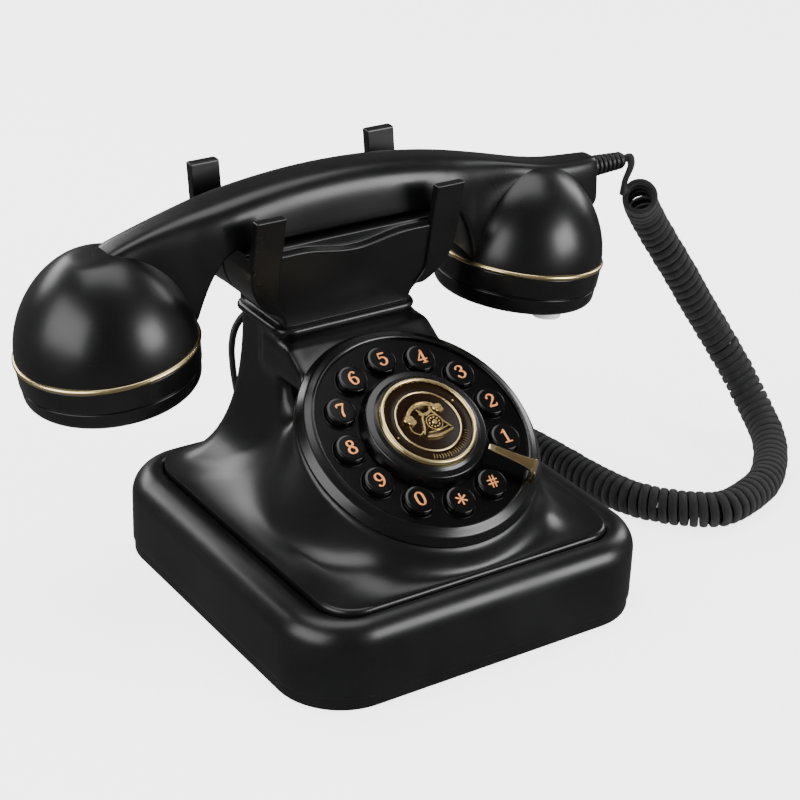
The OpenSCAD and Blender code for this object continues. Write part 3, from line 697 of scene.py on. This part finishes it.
def cut(point, normal):
    geometry = bm.verts[:] + bm.edges[:] + bm.faces[:]
    bmesh.ops.bisect_plane(bm, geom=geometry, plane_co=point, plane_no=normal, clear_outer=True)


cut((0, 0, 97.5), (0, 0, 1))
cut((0, 0, PLINTH_Z + 0.06), (0, 0, -1))
loose = [v for v in bm.verts if not v.link_faces]
bmesh.ops.delete(bm, geom=loose, context="VERTS")
housing_verts = [tuple(v.co) for v in bm.verts]
bm.verts.index_update()
housing_faces = [[v.index for v in f.verts] for f in bm.faces]
bm.free()
finish_mesh("housing_body", housing_verts, housing_faces, SHELL, ROOT, ("upper_housing",),
            "shell_black")

# The lip that the housing stands on: a crisp edge that runs round the plinth
lip = [(0, 31.0), (0, 31.3), (0, 33.9)]
lip += [(1.6 * (1 - math.cos(a)), 33.9 + 1.6 * math.sin(a)) for a in np.linspace(0.15, math.pi / 2, 9)]
lip += [(2.6, 35.52), (3.6, 35.5)]
rings = [round_rect(PLINTH_HW + 0.15 - i, PLINTH_Y0 - 0.15 + i, PLINTH_Y1 + 0.15 - i,
                    max(PLINTH_R - i, 3), z) for i, z in lip]
verts, faces = loft(rings, caps=(False, False))
finish_mesh("housing_lip", verts, faces, SHELL, ROOT, slot="shell_black")

# The bead round the neck's top and the step above it
bead = [(-1.2, 94.0), (-0.2, 94.9), (0.35, 95.05)]
bead += [(0.3 + 1.75 * math.sin(a), 96.8 - 1.75 * math.cos(a))
         for a in np.linspace(0.2, math.pi - 0.2, 12)]
bead += [(-0.6, 98.55), (-0.9, 98.7), (-0.9, 99.2)]
rings = [round_rect(NECK_HW + b, NECK_Y0 - b, NECK_Y1 + b, 5 + b, z, 12, 4) for b, z in bead]
verts, faces = loft(rings, caps=(False, True))
finish_mesh("neck_bead", verts, faces, SHELL, ROOT, slot="shell_black")

# ---- cradle

CENTRE_Y = 42.0


def lean(z):
    """Half the cradle's depth at height z."""
    return 16.5 + 0.17 * (z - 98)


def side_rect(x0, x1, y0, y1, r, z, steps=5):
    """A rounded rectangle at height z, given by its sides."""
    outline = rounded([(x1, y1, r), (x0, y1, r), (x0, y0, r), (x1, y0, r)], steps)
    return [(x, y, z) for x, y in outline]


def lip_top(x):
    """The ledge's wavy front edge: low in the middle, level near the prongs."""
    return 129.7 - 3.0 * (0.5 + 0.5 * math.cos(math.pi * min(1, abs(x) / 24)))


BELLY = smooth_path([(27.6, 98.2), (27.6, 100.0), (28.2, 102.2), (30.2, 104.6), (34.2, 106.6),
                     (37.6, 109.3), (40.3, 112.4), (42.4, 116.4), (43.6, 120.5), (44.1, 125.0)], 5)


def cradle_half(name, node, sign, prong_top):
    """One moulded half: a goblet seen from the front, a lip for the handle, two proud prongs."""
    parts = ([], [])

    def face(z):
        return CENTRE_Y + sign * lean(z)

    back = CENTRE_Y + sign * 0.05
    rings = []
    for w, z in BELLY:
        y0, y1 = sorted((back, face(z)))
        rings.append(side_rect(-w, w, y0, y1, 1.1, z, 6))
    add(parts, *loft(rings))
    rings = []
    for x in np.linspace(-44.1, 44.1, 81):
        top = lip_top(x)
        step = face(128) - sign * 3.9
        section = rounded([(face(124.95), 124.95, 0), (face(top), top, 0.6), (step, top + 0.1, 0.3),
                           (step - sign * 0.2, 131.2, 0.5), (back, 131.2, 0), (back, 124.95, 0)], 4)
        rings.append([(x, y, z) for y, z in section])
    add(parts, *loft(rings))
    for side in (-1, 1):
        rings = []
        for z in list(np.linspace(105.4, 130, 34)) + list(np.linspace(131, prong_top - 0.9, 8)) + \
                [prong_top - 0.5, prong_top - 0.2, prong_top]:
            inset = max(0.0, z - prong_top + 0.5) ** 2 * 1.8
            outer = float(np.interp(z, BELLY[:, 1], BELLY[:, 0])) + 0.35
            inner = min(32.3 - 4.5 * max(0, (112 - z) / 7) ** 1.4, outer - 1.5)
            y0, y1 = sorted((face(z) + sign * (1.15 - inset), face(z) - sign * (2.6 - inset)))
            x0, x1 = sorted((side * (inner + inset), side * (outer - inset)))
            rings.append(side_rect(x0, x1, y0, y1, 0.55, z, 4))
        add(parts, *loft(rings))
    finish_mesh(name, parts[0], parts[1], SHELL, ROOT, (node,), "shell_black", weighted=True)


cradle_half("cradle_front_shell", "cradle_front", -1, 146)
cradle_half("cradle_rear_shell", "cradle_rear", 1, 152.3)

# ---- handset


def handle_top(x):
    """The bowed back, which runs out level over the mouthpiece."""
    bow, level = 152.6 - 0.0019 * x * x, 135.3 - 0.03 * (x - 95)
    return bow if x < 0 else level + 2.4 * math.log1p(math.exp((bow - level) / 2.4))


def handle_low(x):
    """The underside: level between the prongs, then curving down into the two domes."""
    d = abs(x)
    if d < 42:
        return 131.4
    if d < 60.5:
        return 131.4 - 27 * ((d - 42) / 18.5) ** 2.6
    return 104.4


def ease(t):
    """A smooth step from 0 to 1."""
    return t * t * (3 - 2 * t)


def section(x, low, top, hy, power, count=72):
    """A cross-section of the handle: nearly square below, rounder above."""
    ring = []
    for k in range(count):
        a = 2 * math.pi * (k + 0.5) / count
        c, s = math.cos(a), math.sin(a)
        bend = power if s > 0 else 0.3
        middle = max(top - 14.0, low + 4)
        half = top - middle if s > 0 else middle - low
        z = middle + half * math.copysign(abs(s) ** bend, s)
        taper = 1.06 - 0.2 * (z - low) / (top - low) if top > low else 1
        ring.append((x, CENTRE_Y + hy * taper * math.copysign(abs(c) ** bend, c), z))
    return ring


rings = []
stations = ((-101.5, -88, 14), (-87, -62, 14), (-61, -42, 22), (-40, 40, 21), (42, 61, 22),
            (62, 112, 20), (113.5, 122.6, 7))
for x in [*np.concatenate([np.linspace(*span) for span in stations]), 123.4, 124.0, 124.4, 124.5]:
    low, top, hy = handle_low(x), handle_top(x), 13.1
    if x < -88:
        d = (-88 - x) / 13.6
        shrink = math.sqrt(max(0.0, 1 - d * d))
        hy *= max(0.12, shrink ** 0.8)
        top -= 1.2 * d
        low = top - (top - low) * max(0.3, shrink)
    if x > 112:
        low = 104.4 + (x - 112) * 1.05
    waist = min(1, max(0, (abs(x) - 50) / 36))
    hy -= 4.0 * ease(waist)
    if x > 100:
        hy = 5.6 + 3.5 * math.sqrt(max(0, 1 - ((x - 100) / 24.6) ** 2))
    if x > 122.6:
        d = (x - 122.6) / 1.9
        inset = 1.9 * (1 - math.sqrt(max(0, 1 - d * d)))
        low, top, hy = low + inset, top - inset, hy - inset
    calm = min(1, max(0, (abs(x) - 58) / 30))
    rings.append(section(float(x), low, top, hy, 0.62 - 0.2 * ease(calm)))
verts, faces = loft(rings)
finish_mesh("handle_body", verts, faces, HANDSET, "handset", ("handset_handle",), "handset_black")


PIECE_X, PIECE_Z, PIECE_TILT = 91.3, 99.8, 7.9
RELIEF_X, RELIEF_Z = 124.4, 128.8


def piece_frame(side):
    """Where the earpiece (-1) or mouthpiece (1) sits: its seam plane, tilted inwards."""
    return at(side * PIECE_X, CENTRE_Y, PIECE_Z) @ \
        Matrix.Rotation(math.radians(side * PIECE_TILT), 4, "Y")


def pierced(parts, radius, z, holes, thickness, matrix):
    """A flat disc with round holes, as thick as asked."""
    bm = bmesh.new()
    loops = [(0, 0, radius, 96)] + [(x, y, r, 20) for x, y, r in holes]
    for x, y, r, n in loops:
        turns = [2 * math.pi * k / n for k in range(n)]
        ring = [bm.verts.new((x + r * math.cos(a), y + r * math.sin(a), z)) for a in turns]
        for k in range(n):
            bm.edges.new((ring[k], ring[(k + 1) % n]))
    bmesh.ops.triangle_fill(bm, edges=bm.edges[:], use_beauty=True)
    top = bm.faces[:]
    made = bmesh.ops.extrude_face_region(bm, geom=top)
    bmesh.ops.translate(bm, verts=[v for v in made["geom"] if isinstance(v, bmesh.types.BMVert)],
                        vec=(0, 0, thickness))
    bm.verts.index_update()
    verts = [tuple(v.co) for v in bm.verts]
    faces = [[v.index for v in f.verts] for f in bm.faces]
    bm.free()
    add(parts, verts, faces, matrix)


power = 2 / 1.84      # the domes are a little squarer than a ball
for side, word in ((-1, "earpiece"), (1, "mouthpiece")):
    matrix = piece_frame(side)
    dome = [(33.2 * math.cos(a) ** power, 0.85 + 37.1 * math.sin(a) ** power)
            for a in np.linspace(0, math.pi / 2, 72)]
    dome = [(31.5, 0.85), *((r, z - 0.7 * math.log1p(math.exp((z - 36.4) / 0.7)))
                            for r, z in dome[:-1]), (0, 36.2)]
    finish_mesh(word + "_dome_body", *lathe(dome, 160), HANDSET, "handset", (word + "_dome",),
                "handset_black", frame_matrix=matrix)
    ring = [(31.2, -1.0), (33.0, -1.0)] + [(33.1 + 0.95 * math.cos(a), 1.0 * math.sin(a))
            for a in np.linspace(-math.pi / 2, math.pi / 2, 12)] + [(31.2, 1.0)]
    finish_mesh(word + "_gold_ring", *lathe(ring, 160), GOLD, "handset", (word + "_ring",),
                "gold_trim", frame_matrix=matrix)
    parts = ([], [])
    cap = rounded([(31.0, -0.9, 0), (33.5, -0.9, 0.4), (33.1, -8.9, 0.5), (32.2, -9.1, 0.12),
                   (32.2, -9.5, 0.12), (32.75, -9.7, 0.5), (32.2, -16.7, 4.9), (24.0, -16.7, 1.0),
                   (23.4, -15.4, 0.6), (22.0, -15.3, 0)], 7, closed=False)
    add(parts, *lathe(cap, 160), matrix)
    holes = [(0, 0, 1.1)] if side > 0 else []
    for k in range(3):
        for i in range(6 * (k + 1)):
            a = 2 * math.pi * i / (6 * (k + 1))
            x, y = (5 + 5.6 * k) * math.cos(a), (5 + 5.6 * k) * math.sin(a)
            if side < 0 or math.hypot(x - 2, y + 20.5) > 9:
                holes.append((x, y, 1.1))
    pierced(parts, 22.2, -15.35, holes, 1.6, matrix)
    finish_mesh(word + "_cap_body", *parts, CAP, "handset", (word + "_cap",), "cap_black",
                weighted=True)

horn_frame = piece_frame(1) @ at(2, -20.5, -16.4) @ \
    Matrix.Rotation(math.radians(-8), 4, "X")
horn = rounded([(0, 0.6, 0), (7.0, 0.6, 0), (7.0, -0.4, 0.3), (6.2, -0.9, 0.5), (5.6, -4.6, 1.6),
                (0, -5.6, 0)], 6, closed=False)
finish_mesh("mouthpiece_nozzle", *lathe(horn, 64), CHROME_REFLECTION_PAINT, "handset", ("mouthpiece_horn",),
            "horn_chrome", frame_matrix=horn_frame)

relief = [(0, -1.6), (2.35, -1.6), (2.35, 0.0)]
for i in range(7):
    r, x = 4.35 - 0.13 * i, 0.1 + i * 2.28
    relief += rounded([(r - 1.0, x, 0), (r, x, 0.35), (r, x + 1.45, 0.35), (r - 1.0, x + 1.5, 0)],
                      3, closed=False)
relief += [(2.9, 16.2), (2.4, 16.35), (0, 16.35)]
relief_frame = at(RELIEF_X, CENTRE_Y, RELIEF_Z) @ \
    Matrix.Rotation(math.pi / 2, 4, "Y")
finish_mesh("relief_body", *lathe(relief, 48), RUBBER, "handset", ("strain_relief",),
            "relief_rubber", frame_matrix=relief_frame)

# ---- dial

ring = rounded([(40.6, -8.4, 0), (42.8, -8.4, 0), (42.8, -6.1, 0), (46.9, -6.1, 0), (46.5, -5.6, 0.3),
                (44.6, -2.9, 2.2), (42.2, -1.85, 1.6), (41.3, -1.25, 0.5), (40.6, -1.7, 0.35),
                (40.6, -3.6, 0)], 7, closed=False)
finish_mesh("dial_ring_body", *lathe(ring, 192), DIAL, ROOT, ("dial_ring",), "dial_black",
            frame_matrix=DIAL_FRAME)
BUTTON_RING, FIRST_BUTTON, BUTTON_STEP = 31.3, -23, 29
button_angles = [math.radians(FIRST_BUTTON + BUTTON_STEP * i) for i in range(12)]
button_places = [(BUTTON_RING * math.cos(a), BUTTON_RING * math.sin(a)) for a in button_angles]
parts = ([], [])
pierced(parts, 40.65, -4.55, [(x, y, 6.25) for x, y in button_places], 1.95, None)
collar = rounded([(5.9, -4.5, 0), (5.9, -2.35, 0.25), (6.5, -2.35, 0.3), (6.75, -2.75, 0)], 4,
                 closed=False)
for x, y in button_places:
    add(parts, *lathe(collar, 48), at(x, y))
finish_mesh("dial_plate_body", *parts, PLATE, ROOT, ("dial_plate",), "dial_black",
            frame_matrix=DIAL_FRAME, weighted=True)
hub = rounded([(0, -2.6, 0), (24.5, -2.6, 0), (24.4, -1.8, 0.4), (22.9, 2.1, 0.8), (20.4, 2.5, 0.6),
               (19.2, 3.3, 0.4), (18.4, 3.0, 0.3), (18.2, 2.0, 0), (0, 2.0, 0)], 7, closed=False)
finish_mesh("dial_hub_body", *lathe(hub, 160), DIAL, ROOT, ("dial_hub",), "dial_black",
            frame_matrix=DIAL_FRAME)

# Pen strokes of (x, y, width), in millimetres from the button's centre
GLYPHS = {
    "1": [[(-1.25, 1.65, .3), (-.5, 2.0, .5), (.15, 2.7, .75)],
          [(.15, 2.55, .95), (.15, -2.5, .95)],
          [(-1.3, -2.6, .42), (1.6, -2.6, .42)]],
    "2": [[(-1.35, 1.35, 1.0), (-1.2, 2.0, .6), (-.2, 2.65, .5), (1.0, 2.25, .85),
           (1.35, 1.2, 1.05), (.7, 0.1, .8), (-.6, -1.2, .5), (-1.5, -2.3, .45)],
          [(-1.5, -2.4, .8), (1.2, -2.4, .8), (1.7, -1.5, .35)]],
    "3": [[(-1.4, 1.6, .85), (-.9, 2.4, .5), (.2, 2.65, .5), (1.1, 2.0, .9), (1.0, .9, .8),
           (-.2, .3, .45)],
          [(-.2, .3, .45), (1.1, -.1, .7), (1.55, -1.2, 1.0), (.7, -2.4, .6), (-.6, -2.6, .5),
           (-1.5, -1.7, .95)]],
    "4": [[(1.0, 2.7, .5), (-.4, .6, .45), (-1.75, -1.15, .45)],
          [(-1.7, -1.2, .55), (1.9, -1.2, .55)],
          [(.85, 2.6, .95), (.85, -2.5, .95)],
          [(-.2, -2.62, .4), (1.7, -2.62, .4)]],
    "5": [[(1.35, 2.45, .6), (-.9, 2.4, .7)],
          [(-.95, 2.5, .45), (-1.15, .3, .4)],
          [(-1.15, .3, .4), (.2, .75, .5), (1.4, -.1, .9), (1.4, -1.4, 1.0), (.4, -2.5, .6),
           (-.8, -2.55, .5), (-1.45, -1.8, .95)]],
    "6": [[(1.25, 2.2, .85), (.2, 2.65, .45), (-1.1, 1.4, .8), (-1.4, -.6, 1.0), (-.8, -2.2, .75),
           (.2, -2.6, .45), (1.3, -1.9, .8), (1.35, -.5, .95), (.4, .35, .5), (-.9, .1, .4),
           (-1.3, -.7, .5)]],
    "7": [[(-1.5, 1.4, .4), (-1.2, 2.4, .7), (1.5, 2.4, .7)],
          [(1.5, 2.4, .5), (.4, .4, .6), (-.2, -1.3, .95), (-.2, -2.5, 1.0)]],
    "8": [[(0, .3, .55), (-1.1, 1.1, .85), (-.9, 2.3, .7), (0, 2.65, .45), (1.0, 2.2, .7),
           (1.1, 1.1, .85), (0, .3, .6), (-1.4, -.7, .95), (-1.2, -2.1, .8), (0, -2.65, .45),
           (1.3, -2.1, .8), (1.4, -.8, .95), (0, .3, .55)]],
    "9": [[(-1.25, -2.2, .85), (-.2, -2.65, .45), (1.1, -1.4, .8), (1.4, .6, 1.0), (.8, 2.2, .75),
           (-.2, 2.6, .45), (-1.3, 1.9, .8), (-1.35, .5, .95), (-.4, -.35, .5), (.9, -.1, .4),
           (1.3, .7, .5)]],
    "0": [[(0, 2.65, .45), (-1.15, 1.9, .85), (-1.5, 0, 1.0), (-1.15, -1.9, .85), (0, -2.65, .45),
           (1.15, -1.9, .85), (1.5, 0, 1.0), (1.15, 1.9, .85), (0, 2.65, .45)]],
    "*": [[(2.1 * math.cos(a), 2.1 * math.sin(a), .75), (0, 0, .45),
           (-2.1 * math.cos(a), -2.1 * math.sin(a), .75)]
          for a in (math.radians(30), math.radians(90), math.radians(150))],
    "#": [[(-.75, -2.3, .5), (-.25, 2.3, .5)], [(.55, -2.3, .5), (1.05, 2.3, .5)],
          [(-1.9, .75, .5), (2.0, .75, .5)], [(-2.0, -.75, .5), (1.9, -.75, .5)]]}


PEN, ROUND = 0.43, 7      # half a stroke's share of its width, and points on its round end


def ribbon(parts, stroke, z0, z1, grow, matrix):
    """One pen stroke with round ends, as a thin solid."""
    line = smooth_path(stroke, 7)
    tangents = np.gradient(line[:, :2], axis=0)
    tangents /= np.linalg.norm(tangents, axis=1)[:, None]
    left, right_side = [], []
    for (x, y, w), (tx, ty) in zip(line, tangents):
        h = PEN * w + grow
        left.append((x - ty * h, y + tx * h))
        right_side.append((x + ty * h, y - tx * h))
    start, end = [], []
    for row, store, sign in ((0, start, -1), (-1, end, 1)):
        (x, y, w), (tx, ty) = line[row], tangents[row]
        h = PEN * w + grow
        base = math.atan2(ty * sign, tx * sign)
        for k in range(1, ROUND + 1):
            a = base + math.pi / 2 - math.pi * k / (ROUND + 1)
            store.append((x + h * math.cos(a), y + h * math.sin(a)))
    rows = len(left)
    verts = [(x, y, z) for z in (z0, z1) for x, y in left + right_side + start + end]
    count = len(verts) // 2
    faces = []
    first = list(range(2 * rows, 2 * rows + ROUND))
    last = [k + ROUND for k in first]
    for level in (0, count):
        for i in range(rows - 1):
            faces.append([level + k for k in (i, i + 1, rows + i + 1, rows + i)])
        faces.append([level + k for k in (rows, *first, 0)])
        faces.append([level + k for k in (rows - 1, *last, 2 * rows - 1)])
    edge = [*range(rows), *last, *range(2 * rows - 1, rows - 1, -1), *first]
    for i in range(len(edge)):
        a, b = edge[i], edge[(i + 1) % len(edge)]
        faces.append([a, b, b + count, a + count])
    add(parts, verts, faces, matrix)


button_profile = rounded([(0, -7.0, 0), (3, -7.0, 0), (3, -6.2, 0), (6.5, -6.2, 0), (6.5, -4.95, 0),
                          (5.6, -4.95, 0), (5.6, -0.1, 0.45), (4.6, 0.04, 0.4), (0, 0.05, 0)], 6,
                         closed=False)
for figure, (x, y) in zip("1234567890*#", button_places):
    label = {"*": "star", "#": "hash"}.get(figure, figure)
    body = "button_" + label
    here = DIAL_FRAME @ at(x, y)
    finish_mesh("button_body_" + label, *lathe(button_profile, 64), BUTTON, body, (body,),
                "button_black", frame_matrix=here)
    place = here @ Matrix.Scale(0.98, 4)
    for word, material, z0, z1, grow in (("outline", OUTLINE, 0.04, 0.15, 0.16),
                                         ("print", ORANGE, 0.06, 0.19, 0.0)):
        parts = ([], [])
        for stroke in GLYPHS[figure]:
            ribbon(parts, stroke, z0, z1, grow, place)
        finish_mesh(f"figure_{word}_{label}", *parts, material, body, slot="button_black",
                    weighted=True)

# ---- badge

parts = ([], [])
for r, z, w, h in ((17.65, 4.15, 0.75, 0.75), (12.5, 3.75, 0.4, 0.35)):
    profile = [(r + w * math.cos(a), z + h * math.sin(a)) for a in np.linspace(0, 2 * math.pi, 17)]
    add(parts, *lathe(profile, 128))
add(parts, *lathe([(16.9, 2.0), (18.35, 2.0), (18.35, 4.1), (16.9, 4.1)], 128))
finish_mesh("badge_gold", *parts, GOLD, ROOT, ("badge_ring",), "gold_trim", frame_matrix=DIAL_FRAME)
enamel = [(0, 3.5), (11.9, 3.55), (12.5, 3.7), (13.1, 3.55), (16.6, 3.45), (17.0, 3.7), (17.0, 2.0)]
finish_mesh("badge_enamel", *lathe(enamel, 128), BROWN, ROOT, ("badge_disc",), "badge_brown",
            frame_matrix=DIAL_FRAME)


def medal(parts, outline, z, height, edge=0.22):
    """A raised shape with a bevelled rim."""
    rings = [[(x, y, z) for x, y in outline], [(x, y, z + height - edge) for x, y in outline],
             [(x, y, z + height) for x, y in offset(outline, edge)]]
    add(parts, *loft(rings))


def arc(cx, cy, rx, ry, a0, a1, width, count=7):
    """Pen points along an arc, in degrees."""
    return [(cx + rx * math.cos(math.radians(a)), cy + ry * math.sin(math.radians(a)), width)
            for a in np.linspace(a0, a1, count)]


parts = ([], [])
for stroke, top in (
        (arc(-0.6, 0.6, 7.6, 6.2, 158, 40, 1.5, 9), 4.9),       # the handset's grip
        (arc(-0.6, 0.9, 7.3, 6.6, 150, 50, 0.5, 9), 5.15),
        ([(-2.6, 5.0, .8), (-1.4, 3.2, 1.0), (-1.9, 1.4, .8)], 4.5),    # fork
        ([(3.2, 5.6, .8), (2.6, 3.8, 1.0), (3.6, 2.4, .8)], 4.5),
        ([(-2.4, 3.2, .9), (.4, 2.7, 1.4), (3.0, 3.9, .9)], 4.55),
        ([(-2.0, 1.2, .9), (-2.9, -2.0, .8), (-4.2, -4.6, .8)], 4.3),     # body sides
        ([(3.9, 2.0, .9), (5.4, -1.4, .8), (7.2, -4.3, .8)], 4.3),
        ([(-3.4, -6.2, .9), (1.5, -6.7, 1.2), (7.6, -5.4, .9)], 4.4),   # foot
        ([(-2.4, -4.7, .45), (1.8, -4.9, .55), (6.2, -3.9, .45)], 4.6),
        ([(-7.9, 0.6, .5), (-8.2, -2.2, .45), (-6.0, -4.4, .5), (-4.2, -3.6, .45)], 4.0),
        (arc(1.6, -1.4, 3.1, 3.1, 0, 360, .45, 25), 4.75)):
    ribbon(parts, stroke, 3.5, top, 0, None)
for cx, cy, r in ((-7.3, 2.2, 2.1), (-6.6, 0.9, 1.7), (5.9, 4.3, 1.9), (6.4, 3.2, 1.5)):
    medal(parts, [p[:2] for p in arc(cx, cy, r, r * 0.8, 0, 345, 0, 24)], 3.5, 1.3)
medal(parts, [p[:2] for p in arc(1.6, -1.4, 1.1, 1.1, 0, 330, 0, 12)], 4.4, 0.8)
bead_profile = [(0, 0.42), (0.3, 0.32), (0.42, 0)]
beads = [(1.6 + 2.0 * math.cos(math.radians(a)), -1.4 + 2.0 * math.sin(math.radians(a)), 4.5)
         for a in range(0, 360, 36)]
beads += [(14.9 * math.cos(math.radians(a)), 14.9 * math.sin(math.radians(a)), 3.5) for a in (22, 193)]
for x, y, z in beads:
    add(parts, *lathe(bead_profile, 10), at(x, y, z))
finish_mesh("badge_relief", *parts, EMBLEM, ROOT, ("badge_emblem",), "gold_trim",
            frame_matrix=DIAL_FRAME, weighted=True)
MARKS_R = 14.8
parts = ([], [])
for k in range(19):      # a row of plain marks where the original carries lettering
    a = math.radians(250 + 4.4 * k)
    reach = 0.75 if k % 3 else 1.05
    mark = [(r * math.cos(b), r * math.sin(b), w) for r, b, w in (
        (MARKS_R - reach, a, .28), (MARKS_R, a + .012, .3), (MARKS_R + reach * .8, a, .28))]
    ribbon(parts, mark, 3.4, 3.62, 0, None)
finish_mesh("badge_marks", *parts, STOP_FACE, ROOT, slot="gold_trim", frame_matrix=DIAL_FRAME)


# ---- finger stop

# (distance from the dial's axis, height, half-width) along the blade
line = [(23.9, 3.55, 1.1), (24.3, 3.6, 1.35), (26, 3.62, 1.5), (30, 3.6, 1.65), (34, 3.55, 1.85),
        (38, 3.5, 2.25), (41.3, 3.4, 2.9), (42.4, 3.1, 3.3), (42.95, 2.2, 3.5), (43.1, 0.8, 3.6),
        (43.2, -1.9, 3.6)]
dense = smooth_path(line, 5)
slope = np.gradient(dense[:, :2], axis=0)
slope /= np.linalg.norm(slope, axis=1)[:, None]
rings = []
for (r, z, w), (dr, dz) in zip(dense, slope):
    shape = rounded([(w, 0.0, 0.18), (w, 1.15, 0.22), (-w, 1.15, 0.22), (-w, 0.0, 0.18)], 3)
    rings.append([(r - dz * (q - 0.6), p, z + dr * (q - 0.6)) for p, q in shape])
stop_frame = DIAL_FRAME @ Matrix.Rotation(math.radians(-43), 4, "Z")
finish_mesh("stop_blade", *loft(rings), STOP, ROOT, ("finger_stop",), "gold_stop",
            frame_matrix=stop_frame, weighted=True)
inner_face = [(r, w - 0.55, z + 0.5) for r, z, w in line[2:7]]
outline = [(r, w) for r, w, _ in inner_face] + [(r, -w) for r, w, _ in reversed(inner_face)]
outline = rounded([(r, w, 0.4) for r, w in outline], 3)
inlay = loft([[(r, w, 3.9) for r, w in outline],
              [(r, w, float(np.interp(r, [26, 41.3], [4.26, 4.06]))) for r, w in outline]])
finish_mesh("stop_inlay", *inlay, STOP_FACE, ROOT, slot="gold_stop", frame_matrix=stop_frame,
            weighted=True)

# ---- underside and rear

for node in ("bottom_plate", "line_socket", "handset_socket", "switch_body", "cord_plug",
             "ringer_switch"):
    modifier = frame["nodes"][node].modifiers.new("edges", "BEVEL")
    modifier.width = 0.35 * MM
    modifier.segments = 2
    modifier.limit_method = "ANGLE"
    modifier.angle_limit = math.radians(40)
y, z = BASE_HD, 16      # the rear wall, and the height of what is set in it
for name, x, wx, wz in (("socket_frame_left", -8, 6.2, 5.7), ("socket_frame_right", 16, 6.2, 5.7),
                        ("switch_frame", 38, 9.4, 3.6)):
    outer = rounded([(wx, wz, 1), (-wx, wz, 1), (-wx, -wz, 1), (wx, -wz, 1)], 4)
    rings = [[(x + p, y + proud, z + q) for p, q in (offset(outer, inset) if inset else outer)]
             for proud, inset in ((-0.3, 0), (0.02, 0), (0.3, 0.3), (0.3, 0.95), (-2.2, 1.1))]
    verts, faces = loft(rings, caps=(False, False))
    finish_mesh(name, verts, faces, CAP, ROOT, slot="socket_black")

# ---- floor and light

floor_mesh = bpy.data.meshes.new("floor")
floor_mesh.from_pydata([(-6, -6, 0), (6, -6, 0), (6, 6, 0), (-6, 6, 0)], [], [[0, 1, 2, 3]])
material, nodes, links, shader, coords = tree("pale_floor")
links.new(ramp(nodes, links, noise(nodes, links, coords, 3).outputs["Fac"],
               [(0.3, (0.90, 0.90, 0.90)), (0.7, (0.93, 0.93, 0.93))]), shader.inputs["Base Color"])
shader.inputs["Roughness"].default_value = 0.9
shader.inputs["Emission Color"].default_value = (1, 1, 1, 1)
shader.inputs["Emission Strength"].default_value = 3.2
floor_mesh.materials.append(material)
floor = put("floor", floor_mesh)
floor.visible_glossy = False


def softbox(name, place, target, width, depth, power):
    """A rectangular light, in metres and watts, turned to face target."""
    light = bpy.data.lights.new(name, "AREA")
    light.shape = "RECTANGLE"
    light.size, light.size_y = width, depth
    light.energy = power
    obj = put(name, light)
    obj.location = place
    direction = Vector(target) - Vector(place)
    obj.rotation_euler = direction.to_track_quat("-Z", "Y").to_euler()


softbox("key", (0.95, -1.35, 0.62), (0, 0, 0.08), 0.85, 0.68, 22)
softbox("left", (-1.5, -0.15, 0.75), (0, 0, 0.08), 1.6, 1.1, 26)
softbox("overhead", (0.1, 0.25, 1.7), (0, 0, 0.08), 1.5, 1.0, 16)
softbox("rear", (-0.4, 1.5, 0.8), (0, 0, 0.1), 1.2, 0.5, 12)
softbox("right", (1.6, 0.3, 0.7), (0, 0, 0.1), 0.5, 0.7, 7)
world = bpy.data.worlds.new("studio")
bpy.context.scene.world = world
world.use_nodes = True
world.node_tree.nodes["Background"].inputs["Color"].default_value = (1, 1, 1, 1)
world.node_tree.nodes["Background"].inputs["Strength"].default_value = 0.14
